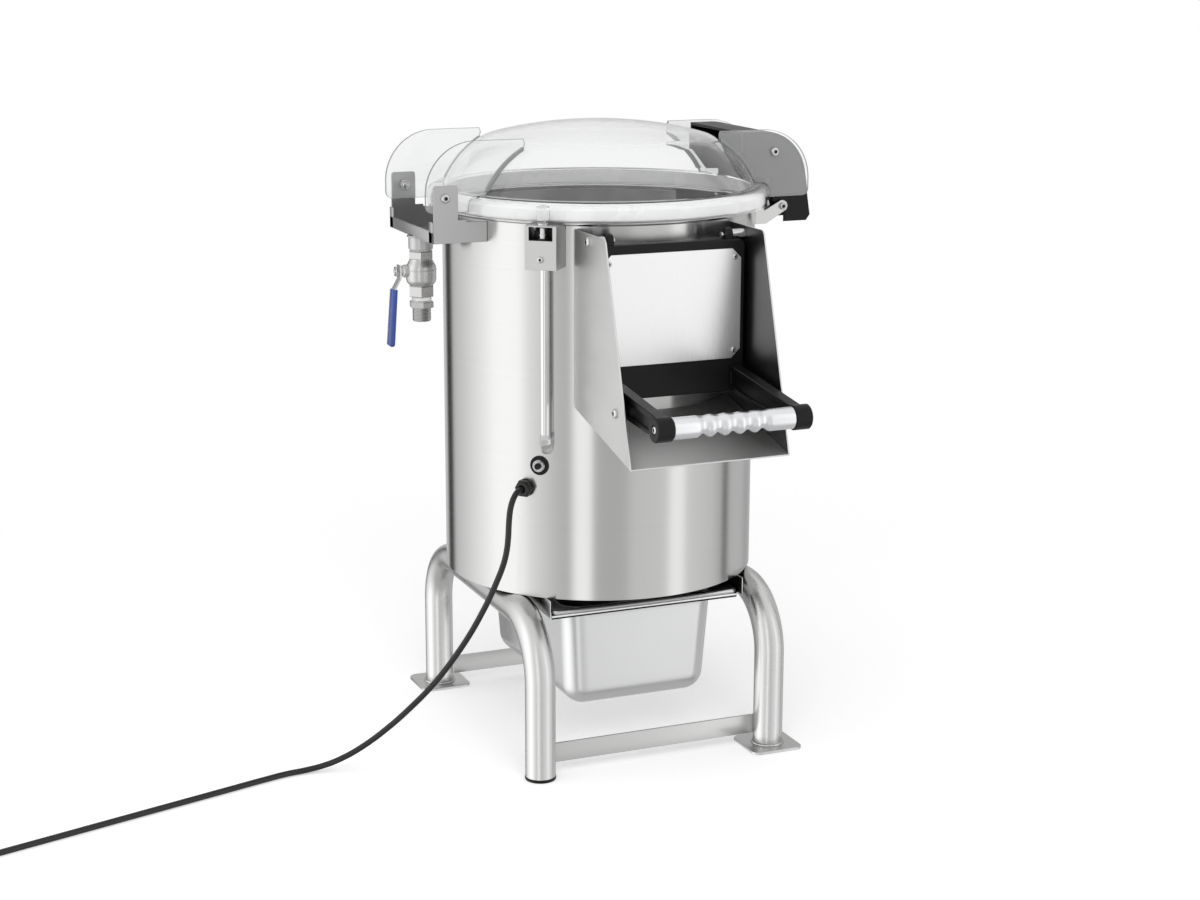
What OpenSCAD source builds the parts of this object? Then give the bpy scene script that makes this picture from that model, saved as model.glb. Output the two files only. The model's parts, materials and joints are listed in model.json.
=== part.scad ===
// Floor-standing electric potato peeler.
// A steel drum on a tubular stand, with a clear domed lid that hinges over a water trough, a front chute
// with a flap door and a finger grip, a reset button, a mains cord and a catch pan that slides out below.
// Origin on the floor under the drum's axis, +Z up, the chute faces -Y, the water inlet is on -X.

/* [Drum] */
// outside diameter of the drum
drum_d = 446; // [380:1:540]
// height of the drum's shell
drum_h = 527; // [440:1:620]
// height of the drum's lower edge above the floor
drum_base = 244; // [210:1:320]
// thickness of the drum's sheet steel
shell_t = 2; // [1.5:0.5:3]
// radius of the rolled rim's bead
rim_bead = 3.5; // [2.5:0.5:5]
// height of the chamber floor above the drum's lower edge
floor_h = 250; // [200:1:320]
// thickness of the abrasive liner
liner_t = 4; // [2:0.5:8]

/* [Stand] */
// outside diameter of the leg tubes
tube_d = 42.4; // [33.7:0.1:60.3]
// wall of the leg tubes
tube_t = 2; // [1.5:0.5:3]
// distance between the two leg frames
stand_w = 352; // [300:1:420]
// distance between the legs of one frame
stand_l = 434; // [380:1:500]
// bend radius of the frames at the tube's centre
bend_r = 85; // [70:1:110]
// height of the cross bars
bar_h = 28; // [15:1:40]
// thickness of the cross bars
bar_t = 4; // [3:0.5:6]
// height of the cross bars above the floor
bar_z = 16; // [8:1:60]
// side of the square foot plates
plate_w = 78; // [60:1:100]
// thickness of the foot plates and of the foot caps' rims
plate_t = 4; // [3:0.5:6]

/* [Lid] */
// wall of the clear lid
lid_t = 4; // [3:0.5:6]
// how far the skirt stands outside the drum
skirt_out = 21; // [17:1:30]
// height of the skirt
skirt_h = 27; // [22:1:40]
// radius of the skirt's shoulder
skirt_r = 14; // [8:1:18]
// distance from the drum's wall to the hinge axis
hinge_out = 39; // [36:1:50]
// height of the hinge axis above the rim
hinge_up = 25; // [20:1:35]
// radius of the side plates' round outline
ear_r = 71; // [60:1:80]
// thickness of the side plates
ear_t = 5; // [4:0.5:8]
// distance between the inner faces of a pair of side plates
ear_gap = 172; // [140:1:200]
// diameter of the lid's hinge and latch bolts
bolt_d = 8; // [6:1:10]

/* [Chute and door] */
// outside width of the chute
chute_w = 230; // [200:1:260]
// how far the chute's tip stands out from the drum
chute_out = 160; // [120:1:220]
// height of the chute's tip above the drum's lower edge
chute_tip = 228; // [200:1:260]
// thickness of the chute's sheet
chute_t = 2; // [1.5:0.5:3]
// width of the door's face
door_w = 216; // [180:1:216]
// height of the door's face
door_h = 208; // [180:1:220]
// distance from the drum's wall to the front of the door
door_out = 31; // [26:1:45]
// length of the arms from the door to the grip's axis
arm_len = 187; // [140:1:220]
// diameter of the finger grip
grip_d = 29; // [24:1:36]

/* [Water inlet] */
// outside diameter of the inlet thread
thread_d = 26.4; // [20:0.1:33.2]
// diameter of the water way
bore_d = 20; // [15:0.5:25]
// diameter of the valve's body
valve_d = 42; // [38:1:52]
// length of the valve's lever
lever_l = 104; // [80:1:130]

/* [Drive] */
// diameter of the drive shaft
shaft_d = 25; // [20:1:30]
// diameter of the motor
motor_d = 128; // [100:1:140]
// height of the motor
motor_h = 140; // [110:1:150]
// distance between the shaft and the motor
belt_span = 136; // [130:1:142]
// running radius of the large pulley
pulley_r = 84; // [60:1:90]
// running radius of the small pulley
pinion_r = 28; // [20:1:40]
// height of the belt
belt_h = 14; // [10:1:20]

/* [Catch pan] */
// width of the pan over its rim
pan_w = 288; // [240:1:292]
// length of the pan over its rim
pan_l = 350; // [300:1:360]
// depth of the pan
pan_h = 155; // [100:1:170]
// width of the pan's rim at its sides
pan_rim = 29; // [20:1:35]
// thickness of the pan's wall
pan_t = 2; // [1.5:0.5:3]

/* [Electrics] */
// diameter of the mains cord
cord_d = 8.3; // [6:0.1:10]
// width across the flats of the cable gland
gland_af = 22; // [19:1:27]
// diameter of the conduit
conduit_d = 13.5; // [10:0.5:18]
// width of the lid switch's box
switch_w = 44; // [36:1:60]

/* [Hidden] */
$fa = 5;
$fs = 0.8;

steel = [0.78, 0.78, 0.77];
bright = [0.86, 0.86, 0.85];
black = [0.08, 0.08, 0.08];
clear = [0.92, 0.94, 0.94, 0.35];
dark = [0.25, 0.25, 0.25];

eps = 0.01;
seat_gap = 0.3;    // gap between pieces of different bodies that rest on each other
run_gap = 0.05;    // radial clearance of a running fit

// drum
drum_r = drum_d / 2;
rim_z = drum_base + drum_h;
inner_r = drum_r - shell_t;
floor_z = drum_base + floor_h;
floor_t = 3;
liner_r = inner_r - liner_t;

// stand
leg_x = stand_w / 2;
leg_y = stand_l / 2;
rail_z = drum_base - tube_d / 2;
cap_t = plate_t + 1;
bar_y = leg_y - 12;

// lid
lid_z = rim_z - 1;
skirt_outer = drum_r + skirt_out;
flange_top = lid_z + skirt_h;
dome_r = drum_r - 1.5;
side_r = 135;
side_a0 = 22;
side_a1 = 55;
shoulder_r = 62;
shoulder_a = 76;
hinge_x = -(drum_r + hinge_out);
hinge_z = rim_z + hinge_up;
ear_in = ear_gap / 2;
ear_out = ear_in + ear_t;
ear_cx = drum_r - 5.5;
ear_cz = hinge_z + 4.5;
ear_low = hinge_z - 20;
ear_corner = 10;
ear_start = 146;

// hinge bracket that is also the water trough
bracket_t = 2.5;
bracket_in = ear_out + seat_gap;
bracket_low = rim_z - 36;
bracket_end = hinge_x - 17;
tab_w = 35;
tab_top = hinge_z + 17;
inlet_x = hinge_x - 5;
inlet_window = [60, 16];
socket_d = thread_d + 7.6;
socket_l = 19;

// latch
pivot_x = drum_r + 10;
pivot_z = rim_z + 69;
pin_x = drum_r + 24;
pin_z = rim_z - 9;
latch_out = ear_in - 0.4;
latch_wall = 4;
lip_x = drum_r + 72;
lip_z = rim_z - 32;
keeper_t = 3;
keeper_in = latch_out + 2.6;
pin_in = latch_out - 6;

// chute and door
cheek_out = chute_w / 2;
cheek_in = cheek_out - chute_t;
cheek_top = rim_z - 11;
cheek_front = -(drum_r + 76);
tip_y = -(drum_r + chute_out);
tip_z = drum_base + chute_tip;
chute_slope = 0.237;
door_front = -(drum_r + door_out);
door_t = 16;
door_back = door_front + door_t;
door_top = rim_z - 27;
door_low = door_top - door_h;
door_axis_y = door_front + 14;
door_axis_z = rim_z - 22;
window_w = door_w - 26;
window_top = door_top - 7;
window_low = door_low + 4;
seal_t = 2;
frame_front = door_back + seal_t + seat_gap;
eye_x = window_w / 2 - 13;
eye_t = 10;
eye_r = 10;
spacer_d = 14;
pin_d = 8;
arm_x = door_w / 2 - 21;
arm_t = 16;
boss_w = 23;
grip_y = door_front - arm_len;
grip_z = rim_z - 233;
boss_x = arm_x - 1;
catch_y = door_front - 80;
catch_z = grip_z;
face_w = door_w - 13;
face_h = door_h - 58;
face_t = 1.5;
face_top = door_top - 12;
screw_dx = face_w / 2 - 9.5;
screw_dz = 11.5;

// parts on the drum's side: angle around the drum and height
switch_a = 230.3;
conduit_a = 229.3;
breaker_a = 226.3;
breaker_z = rim_z - 338;
gland_a = 221.07;
gland_z = rim_z - 371;
switch_top = lid_z - 2;
switch_h = 59;
switch_front = drum_r + 39;
actuator_r = skirt_outer + 8;
actuator_d = 8;
plunger_d = 9;
window_h = 18;
box_t = 1.5;
conduit_r = drum_r + 2 + conduit_d / 2;
conduit_low = breaker_z + 27;
sleeve_h = 13;
ring_d = 27;
collar_d = 16;
button_d = 9;
breaker_neck = 12;

// drive
belt_z = drum_base + 58;
belt_t = 4;
pulley_flange = 6;
housing_d = 76;
bearing_d = 52;
bearing_h = 15;
housing_h = 104;
shaft_top = floor_z + 18;
disc_r = liner_r - 6;
disc_z = floor_z + 14;
disc_t = 7;
motor_low = belt_z + 36;
motor_shaft_d = 14;
spout_d = 60;
spout_y = -132;
spout_low = drum_base - 12;

// pan and rails
pan_top = drum_base - 18;
pan_y0 = -(pan_l / 2 + 3);
pan_front_wall = 12;
rail_in = pan_w / 2 + 3;
rail_t = 1.5;
rail_lip = 14;
rail_l = pan_l + 16;

// mains cord
cord_r = cord_d / 2;
loop_r = 46;
loop_pitch = 10.5;
layer_pitch = 8.9;
loops = 3;
loop_steps = 24;
coil_sides = 6;
cord_sides = 10;
plug_z = 19.5;
plug_r = 19;

// Points along the cord's centre from the gland to the coil.
CORD_POINTS = [
    [-174.2, -151.7, 400], [-181.7, -158.3, 400], [-188.5, -164.2, 398.5], [-194.6, -169.4, 394],
    [-199.5, -173.7, 387.5], [-203.2, -177, 379], [-205.5, -179, 368], [-206.6, -179.6, 356],
    [-207.3, -179, 340], [-209.5, -177, 318], [-214, -174.2, 298], [-221.5, -171, 277],
    [-230.5, -167, 254], [-241.5, -162.4, 230], [-254, -157, 205], [-268, -151, 180.5],
    [-284, -144.4, 155.5], [-305, -135.6, 126.5], [-333, -124, 94.5], [-364, -111.2, 63.5],
    [-397, -97.5, 36], [-425, -86.6, 18.6], [-448, -79.3, 9.4], [-472, -76, 5.2],
    [-500, -77.8, 4.4], [-530, -85.6, 4.4], [-590, -103.7, 4.4], [-665, -126.4, 4.4],
    [-740, -149.1, 4.4], [-815, -171.9, 4.4], [-890, -194.6, 4.4], [-957, -214.9, 4.4]
];

// ---- outlines and small helpers ----

function arc(c, r, a0, a1, n = 10) =
    [for (i = [0:n]) let (a = a0 + (a1 - a0) * i / n) [c[0] + r * cos(a), c[1] + r * sin(a)]];

function unit(v) = v / norm(v);

// x on a circle of radius r at distance y from its diameter
function chord(r, y) = sqrt(r * r - y * y);

module ring(d_out, d_in, h) {
    difference() {
        cylinder(d = d_out, h = h);
        translate([0, 0, -1]) cylinder(d = d_in, h = h + 2);
    }
}

// flat rectangle with round corners, centred
module round_rect(w, h, r) {
    square([w - 2 * r, h], center = true);
    square([w, h - 2 * r], center = true);
    for (x = [-1, 1], y = [-1, 1]) translate([x * (w / 2 - r), y * (h / 2 - r)]) circle(r);
}

// extrudes an outline drawn in X and Z by t along +Y, starting at y
module plate_xz(y, t) {
    translate([0, y + t, 0]) rotate([90, 0, 0]) linear_extrude(t) children();
}

// extrudes an outline drawn in Y and Z by t along +X, starting at x
module plate_yz(x, t) {
    translate([x, 0, 0]) rotate([90, 0, 90]) linear_extrude(t) children();
}

// places something on the drum's side, with local X pointing outwards
module on_drum(a, z) {
    translate([0, 0, z]) rotate([0, 0, a]) children();
}

// cylinder along local X from x0 to x1
module rod_x(x0, x1, d) {
    translate([x0, 0, 0]) rotate([0, 90, 0]) cylinder(d = d, h = x1 - x0);
}

// cylinder along Y from y0 to y1
module rod_y(y0, y1, d) {
    translate([0, y0, 0]) rotate([-90, 0, 0]) cylinder(d = d, h = y1 - y0);
}

// the drum's outside, with room for the rolled rim
module drum_core() {
    translate([0, 0, drum_base - 60]) cylinder(r = drum_r, h = drum_h + 200);
    translate([0, 0, rim_z - 2 * rim_bead - 0.5]) cylinder(r = drum_r + rim_bead + 2, h = 60);
}

// a stretch of the drum's outside that is centred on the height of what is cut by it
module drum_wall_cut() {
    translate([0, 0, -100]) cylinder(r = drum_r, h = 200, $fn = 360);
}

// ---- stand ----

module tube_outline(solid) {
    difference() {
        circle(d = tube_d);
        if (!solid) circle(d = tube_d - 2 * tube_t);
    }
}

// one inverted U in the plane x = 0; its legs stop at z_front and z_back
module leg_frame(z_front, z_back, solid = false) {
    top = 2 * (leg_y - bend_r);
    translate([0, -top / 2, rail_z]) rotate([-90, 0, 0]) linear_extrude(top) tube_outline(solid);
    for (s = [-1, 1]) {
        low = s < 0 ? z_front : z_back;
        translate([0, s * leg_y, low]) linear_extrude(rail_z - bend_r - low) tube_outline(solid);
        translate([0, s * (leg_y - bend_r), rail_z - bend_r]) rotate([90, 0, s * 90])
            rotate_extrude(angle = 90) translate([bend_r, 0]) tube_outline(solid);
    }
}

module leg_frame_left() color(steel) translate([-leg_x, 0, 0]) leg_frame(cap_t, plate_t);

module leg_frame_right() color(steel) translate([leg_x, 0, 0]) leg_frame(plate_t, cap_t);

module cross_bars() color(steel) difference() {
    for (s = [-1, 1])
        translate([-leg_x, s * bar_y - bar_t / 2, bar_z]) cube([stand_w, bar_t, bar_h]);
    for (x = [-leg_x, leg_x], y = [-leg_y, leg_y])
        translate([x, y, 0]) cylinder(d = tube_d, h = bar_z + bar_h + 20);
}

module foot_plates() color(steel) for (s = [-1, 1])
    translate([-s * leg_x, s * leg_y, 0]) linear_extrude(plate_t) round_rect(plate_w, plate_w, 12);

module foot_caps() color(black) for (s = [-1, 1]) translate([s * leg_x, s * leg_y, 0]) {
    cylinder(d = tube_d + 1, h = cap_t);
    cylinder(d = tube_d - 2 * tube_t, h = cap_t + 18);
}

// ---- drum ----

module wall_holes() {
    translate([0, -drum_r, (window_top + window_low) / 2])
        cube([window_w, 2 * drum_r - 200, window_top - window_low], center = true);
    translate([-drum_r, 0, bracket_low + bracket_t + 8 + inlet_window[1] / 2])
        cube([60, inlet_window[0], inlet_window[1]], center = true);
    on_drum(breaker_a, breaker_z) rod_x(drum_r - 20, drum_r + 10, breaker_neck);
    on_drum(gland_a, gland_z) rod_x(drum_r - 20, drum_r + 10, gland_af - 6);
    on_drum(conduit_a, conduit_low) rod_x(drum_r - 20, drum_r + 10, conduit_d);
}

module drum_shell() color(steel) difference() {
    union() {
        translate([0, 0, drum_base]) ring(drum_d, drum_d - 2 * shell_t, drum_h - rim_bead);
        rotate_extrude() translate([drum_r + 1.5, rim_z - rim_bead]) circle(rim_bead);
    }
    wall_holes();
}

module base_plate() color(steel) difference() {
    translate([0, 0, drum_base]) cylinder(r = inner_r, h = 3);
    translate([0, spout_y, drum_base - 1]) cylinder(d = spout_d, h = 5);
    for (x = [-90, 90], i = [-2:2])
        translate([x, i * 18, drum_base + 1]) cube([50, 6, 8], center = true);
}

// flat-fronted collar that the door closes on
module door_frame() color(steel) difference() {
    w = window_w;
    h = window_top - window_low;
    translate([0, 0, (window_top + window_low) / 2]) difference() {
        translate([0, frame_front + 30, 0]) cube([w + 5, 60, h + 5], center = true);
        translate([0, frame_front + 30, 0]) cube([w, 80, h], center = true);
    }
    drum_core();
}

module chamber_floor() color(steel) difference() {
    translate([0, 0, floor_z]) cylinder(r = inner_r, h = floor_t);
    translate([0, 0, floor_z - 1]) cylinder(d = bearing_d, h = floor_t + 2);
    translate([0, spout_y, floor_z - 1]) cylinder(d = spout_d - 4, h = floor_t + 2);
}

module drain_spout() color(steel) translate([0, spout_y, 0]) {
    translate([0, 0, spout_low]) ring(spout_d, spout_d - 4, floor_z - spout_low);
    translate([0, 0, floor_z - 3]) ring(spout_d + 16, spout_d - 4, 3);
}

module drum_liner() color(dark) difference() {
    translate([0, 0, floor_z + floor_t]) ring(2 * inner_r, 2 * liner_r, rim_z - 8 - floor_z - floor_t);
    wall_holes();
    // the water slot runs out through the liner's top edge
    translate([-drum_r, 0, rim_z - 8]) cube([60, inlet_window[0], inlet_window[1]], center = true);
}

// the cheek's side, in Y and Z
module cheek_outline() {
    r = 9;
    start = -chord(drum_r, cheek_out) + 12;
    low = tip_z + (-tip_y + start) * chute_slope;
    polygon(concat(
        [[start, low], [tip_y, tip_z]],
        arc([cheek_front + r, cheek_top - r], r, 163, 90, 6),
        [[start, cheek_top]]
    ));
}

module chute() color(steel) difference() {
    union() {
        for (s = [-1, 1]) plate_yz(s < 0 ? -cheek_out : cheek_in, chute_t) cheek_outline();
        start = -chord(drum_r, cheek_out) + 12;
        low = tip_z + (-tip_y + start) * chute_slope;
        plate_yz(-cheek_out, chute_w) polygon([
            [start, low], [tip_y, tip_z], [tip_y, tip_z + chute_t], [start, low + chute_t]
        ]);
    }
    drum_core();
    for (p = [[door_axis_y, door_axis_z, pin_d], [catch_y, catch_z, 6]])
        translate([0, p[0], p[1]]) rod_x(-cheek_out - 1, cheek_out + 1, p[2]);
}

// ---- drive ----

module peeling_disc() color(dark) {
    difference() {
        union() {
            translate([0, 0, disc_z]) cylinder(r = disc_r, h = disc_t);
            translate([0, 0, floor_z + floor_t + 3]) cylinder(d = 64, h = disc_z - floor_z - floor_t);
            for (a = [0, 120, 240]) rotate([0, 0, a]) translate([0, 0, disc_z + disc_t - 6])
                rod_x(30, disc_r - 14, 24);
        }
        translate([0, 0, floor_z]) cylinder(d = shaft_d - 7, h = 60);
        translate([0, 0, floor_z - 10]) cylinder(d = shaft_d, h = shaft_top - floor_z + 10 - 6);
        translate([0, 0, disc_z - 40]) cylinder(r = disc_r + 5, h = 40 - 8);
    }
}

module disc_nut() color(bright) difference() {
    translate([0, 0, disc_z + disc_t]) {
        cylinder(d = 44, h = 8);
        translate([0, 0, 8]) cylinder(d1 = 44, d2 = 26, h = 10);
    }
    translate([0, 0, disc_z]) cylinder(d = shaft_d - 7, h = disc_t + 12);
}

module drive_shaft() color(bright) {
    translate([0, 0, belt_z - 16]) cylinder(d = shaft_d, h = shaft_top - 6 - belt_z + 16);
    translate([0, 0, belt_z]) cylinder(d = shaft_d - 7, h = disc_z + disc_t + 12 - belt_z);
}

module bearing_housing() color([0.5, 0.52, 0.53]) difference() {
    union() {
        translate([0, 0, floor_z - housing_h]) cylinder(d = housing_d, h = housing_h);
        translate([0, 0, floor_z - 10]) cylinder(d = housing_d + 44, h = 10);
    }
    translate([0, 0, floor_z - housing_h - 1]) cylinder(d = bearing_d, h = housing_h + 2);
    translate([0, spout_y, floor_z - 20]) cylinder(d = spout_d + 18, h = 30);
}

module bearings() color(bright) for (z = [floor_z - housing_h, floor_z - bearing_h + floor_t])
    translate([0, 0, z]) ring(bearing_d, shaft_d + 2 * run_gap, bearing_h);

module pulley(r, bore) {
    difference() {
        union() {
            cylinder(r = r, h = belt_h + 2);
            for (z = [-4, belt_h + 2]) translate([0, 0, z]) cylinder(r = r + pulley_flange, h = 4);
        }
        translate([0, 0, -10]) cylinder(d = bore, h = 40);
    }
}

module shaft_pulley() color(steel) translate([0, 0, belt_z]) pulley(pulley_r, shaft_d);

module motor_pulley() color(steel) translate([0, belt_span, belt_z]) pulley(pinion_r, motor_shaft_d);

// outline of a belt's loop round both pulleys, standing d off their faces
module belt_outline(d) {
    ra = pulley_r + d;
    rb = pinion_r + d;
    a = asin((ra - rb) / belt_span);
    circle(ra);
    translate([0, belt_span]) circle(rb);
    polygon([
        [ra * cos(a), ra * sin(a)], [rb * cos(a), belt_span + rb * sin(a)],
        [-rb * cos(a), belt_span + rb * sin(a)], [-ra * cos(a), ra * sin(a)]
    ]);
}

module drive_belt() color(black) translate([0, 0, belt_z + 1]) linear_extrude(belt_h) difference() {
    belt_outline(belt_t + 0.5);
    belt_outline(0.5);
}

module motor() color([0.35, 0.37, 0.4]) translate([0, belt_span, 0]) difference() {
    union() {
        translate([0, 0, motor_low]) cylinder(d = motor_d - 10, h = 12);
        translate([0, 0, motor_low + 12]) cylinder(d = motor_d, h = motor_h - 36);
        translate([0, 0, motor_low + motor_h - 24]) cylinder(d1 = motor_d, d2 = motor_d - 20, h = 24);
        for (a = [0:20:340]) rotate([0, 0, a]) translate([motor_d / 2 - 2, -1.5, motor_low + 18])
            cube([5, 3, motor_h - 48]);
    }
    translate([0, 0, motor_low - 1]) cylinder(d = motor_shaft_d + 2 * run_gap, h = motor_h - 30);
}

module motor_shaft() color(bright) translate([0, belt_span, belt_z - 8])
    cylinder(d = motor_shaft_d, h = motor_low - belt_z + 8 + motor_h - 40);

module motor_bracket() color(steel) difference() {
    union() {
        translate([0, belt_span, motor_low - 4]) linear_extrude(4) round_rect(126, 126, 14);
        for (x = [-1, 1], y = [-1, 1])
            translate([x * 54, belt_span + y * 54, motor_low - 4])
                cylinder(d = 12, h = floor_z - motor_low + 4);
    }
    translate([0, belt_span, motor_low - 6]) cylinder(d = 40, h = 10);
    translate([0, belt_span, motor_low]) cylinder(d = motor_d + 8, h = motor_h + 1);
    difference() {
        translate([0, 0, drum_base]) cylinder(r = 2 * drum_r, h = drum_h);
        translate([0, 0, drum_base]) cylinder(r = inner_r, h = drum_h);
    }
}

// ---- electrics ----

module breaker_body() color(bright) on_drum(breaker_a, breaker_z) difference() {
    union() {
        rod_x(drum_r - 8, drum_r + 4, breaker_neck);
        rod_x(drum_r + 2, drum_r + 6, collar_d);
        translate([drum_r - 44, -14, -17]) cube([38, 28, 34]);
    }
    rod_x(drum_r - 6, drum_r + 10, button_d + 0.2);
}

module breaker_ring() color(black) on_drum(breaker_a, breaker_z) difference() {
    rod_x(drum_r - 1, drum_r + 2, ring_d);
    rod_x(drum_r - 20, drum_r + 10, breaker_neck);
    drum_wall_cut();
}

module breaker_button() color(black) on_drum(breaker_a, breaker_z) rod_x(drum_r - 2, drum_r + 10, button_d);

module cable_gland() color(black) on_drum(gland_a, gland_z) difference() {
    union() {
        difference() {
            union() {
                rod_x(drum_r - 1, drum_r + 2, gland_af + 3);
                translate([drum_r + 2, 0, 0]) rotate([0, 90, 0])
                    cylinder(d = gland_af / cos(30), h = 9, $fn = 6);
                rod_x(drum_r + 11, drum_r + 14, gland_af - 3);
            }
            drum_wall_cut();
        }
        rod_x(drum_r - 14, drum_r + 2, gland_af - 6);
        difference() {
            rod_x(drum_r - 8, drum_r, gland_af + 1);
            translate([0, 0, -100]) ring(3 * drum_r, 2 * inner_r, 200);
        }
    }
    rod_x(drum_r + 8, drum_r + 20, cord_d + 2.1);
}

// points of a smooth curve through a list, n steps to a stretch
function curve_point(p0, p1, p2, p3, t) =
    0.5 * (2 * p1 + (p2 - p0) * t + (2 * p0 - 5 * p1 + 4 * p2 - p3) * t * t
    + (3 * p1 - p0 - 3 * p2 + p3) * t * t * t);

function smooth(p, n) = [
    for (i = [0:len(p) - 2], j = [0:n - 1])
        curve_point(p[max(i - 1, 0)], p[i], p[i + 1], p[min(i + 2, len(p) - 1)], j / n),
    p[len(p) - 1]
];

// a round tube of radius r along points p; side is a direction that the tube never runs along
module tube_along(p, r, sides, side) {
    last = len(p) - 1;
    rings = [
        for (i = [0:last])
            let (
                t = unit(p[min(i + 1, last)] - p[max(i - 1, 0)]),
                u = unit(side - (side * t) * t),
                v = cross(t, u)
            )
            for (k = [0:sides - 1]) let (a = 360 * k / sides) p[i] + r * (cos(a) * u + sin(a) * v)
    ];
    walls = [
        for (i = [0:last - 1], k = [0:sides - 1])
            let (a = i * sides + k, b = i * sides + (k + 1) % sides)
            each [[a, b + sides, b], [a, a + sides, b + sides]]
    ];
    start = [for (k = [1:sides - 2]) [0, k, k + 1]];
    end = [for (k = [1:sides - 2]) [last * sides, last * sides + k + 1, last * sides + k]];
    polyhedron(points = rings, faces = concat(walls, start, end));
}

cord_path = smooth(CORD_POINTS, 2);
cord_end = CORD_POINTS[len(CORD_POINTS) - 1];
cord_dir = unit(cord_end - CORD_POINTS[len(CORD_POINTS) - 2]);
lead_in = 10;
turns_in = (loops - 0.5) / 2;
loop_outer = loop_r + loop_pitch * turns_in / 2;
loop_start = cord_end + lead_in * cord_dir;
loop_centre = loop_start + loop_outer * [cord_dir[1], -cord_dir[0], 0];
loop_a0 = atan2(loop_start[1] - loop_centre[1], loop_start[0] - loop_centre[0]);

// radius and height after n turns: spiral in, climb a layer in half a turn, spiral out
function loop_radius(n) =
    loop_outer - loop_pitch * (n < turns_in ? n : n < turns_in + 0.5 ? turns_in : loops - n);
function loop_height(n) = layer_pitch * min(1, max(0, (n - turns_in) * 2));

coil_turns = [
    for (i = [0:loops * loop_steps])
        let (n = i / loop_steps, a = loop_a0 - 360 * n, r = loop_radius(n))
        loop_centre + [r * cos(a), r * sin(a), loop_height(n)]
];
coil_last = coil_turns[len(coil_turns) - 1];
tail_rise = plug_z - coil_last[2];
coil_tail = [
    for (k = [1:5])
        coil_last + cord_dir * k * 11 + [0, 0, tail_rise * (k < 4 ? (1 - cos(180 * k / 4)) / 2 : 1)]
];
coil_path = concat([cord_end], coil_turns, coil_tail);
coil_gap = min([
    for (i = [0:len(coil_path) - 1], j = [i + loop_steps / 2:1:len(coil_path) - 1])
        norm(coil_path[i] - coil_path[j])
]) - cord_d;

function steps(p) = [for (i = [1:len(p) - 1]) norm(p[i] - p[i - 1])];

function path_length(p) = steps(p) * [for (i = [1:len(p) - 1]) 1];

echo(coil_gap_mm = coil_gap, cord_length_mm = path_length(cord_path) + path_length(coil_path));

module mains_cord() color(black) tube_along(cord_path, cord_r, cord_sides, [-0.39, -0.92, 0]);

module mains_coil() color(black) tube_along(coil_path, cord_r, coil_sides, [0, 0, 1]);

module mains_plug() color(black) {
    translate(coil_path[len(coil_path) - 1])
        rotate([0, 0, atan2(cord_dir[1], cord_dir[0])]) rotate([0, 90, 0]) {
            cylinder(d1 = cord_d + 1.5, d2 = 14, h = 26);
            translate([0, 0, 26]) cylinder(d1 = 22, d2 = 32, h = 14);
            translate([0, 0, 40]) cylinder(r = plug_r, h = 16);
            for (s = [-1, 1]) translate([0, s * 9.5, 56]) cylinder(d = 4.8, h = 19);
        }
}

module conduit_tube() color(bright) on_drum(conduit_a, conduit_low + sleeve_h)
    translate([conduit_r, 0, 0])
        ring(conduit_d, conduit_d - 2, switch_top - switch_h - conduit_low - sleeve_h);

module conduit_elbow() color([0.85, 0.85, 0.83]) on_drum(conduit_a, conduit_low) {
    translate([conduit_r, 0, 0]) cylinder(d = conduit_d + 1.5, h = sleeve_h);
    translate([conduit_r, 0, 0]) sphere(d = conduit_d + 1.5);
    rod_x(drum_r - 12, conduit_r, conduit_d);
    difference() {
        rod_x(drum_r - 1, conduit_r, conduit_d + 1.5);
        drum_wall_cut();
    }
}

module switch_box() color(steel) on_drum(switch_a, switch_top - switch_h) difference() {
    depth = switch_front - drum_r + 12;
    union() {
        translate([switch_front - depth, -switch_w / 2, 0]) cube([depth, switch_w, switch_h]);
        translate([actuator_r, 0, switch_h]) cylinder(d = 15, h = 3.4);
    }
    translate([switch_front - depth - 1, -switch_w / 2 + box_t, box_t])
        cube([depth + 1 - box_t, switch_w - 2 * box_t, switch_h - 2 * box_t]);
    translate([switch_front - 5, -16.5, switch_h - 1.9 - window_h]) cube([10, 33, window_h]);
    translate([actuator_r, 0, switch_h - 10]) cylinder(d = plunger_d + 1.8, h = 20);
    translate([conduit_r, 0, -5]) cylinder(d = conduit_d, h = 10);
    translate([0, 0, switch_h - switch_top]) drum_core();
}

module lid_switch() color(black) on_drum(switch_a, switch_top - switch_h) difference() {
    back = drum_r + 0.5;
    union() {
        translate([back, -15, 20]) cube([actuator_r + 7 - back, 30, switch_h - window_h - 22]);
        translate([back, -15, switch_h - window_h - 3]) cube([14, 30, window_h - 3]);
        translate([switch_front - box_t - 4, -5, 30]) cube([4, 10, 8]);
    }
    translate([actuator_r, 0, switch_h - window_h - 12]) cylinder(d = plunger_d + 0.6, h = 40);
}

// sprung pin that the lid's pin holds down
module lid_plunger() color(bright) on_drum(switch_a, switch_top - switch_h)
    translate([actuator_r, 0, switch_h - window_h - 8]) cylinder(d = plunger_d, h = window_h + 9 - seat_gap);

// ---- catch pan ----

module pan_rails() color(steel) for (s = [-1, 1]) scale([s, 1, 1])
    translate([0, pan_y0 - 6 + rail_l, 0]) rotate([90, 0, 0]) linear_extrude(rail_l) polygon([
        [rail_in - rail_lip, drum_base], [rail_in + rail_t, drum_base],
        [rail_in + rail_t, pan_top - 5 - rail_t], [rail_in - rail_lip, pan_top - 5 - rail_t],
        [rail_in - rail_lip, pan_top - 5], [rail_in, pan_top - 5],
        [rail_in, drum_base - rail_t], [rail_in - rail_lip, drum_base - rail_t]
    ]);

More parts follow.
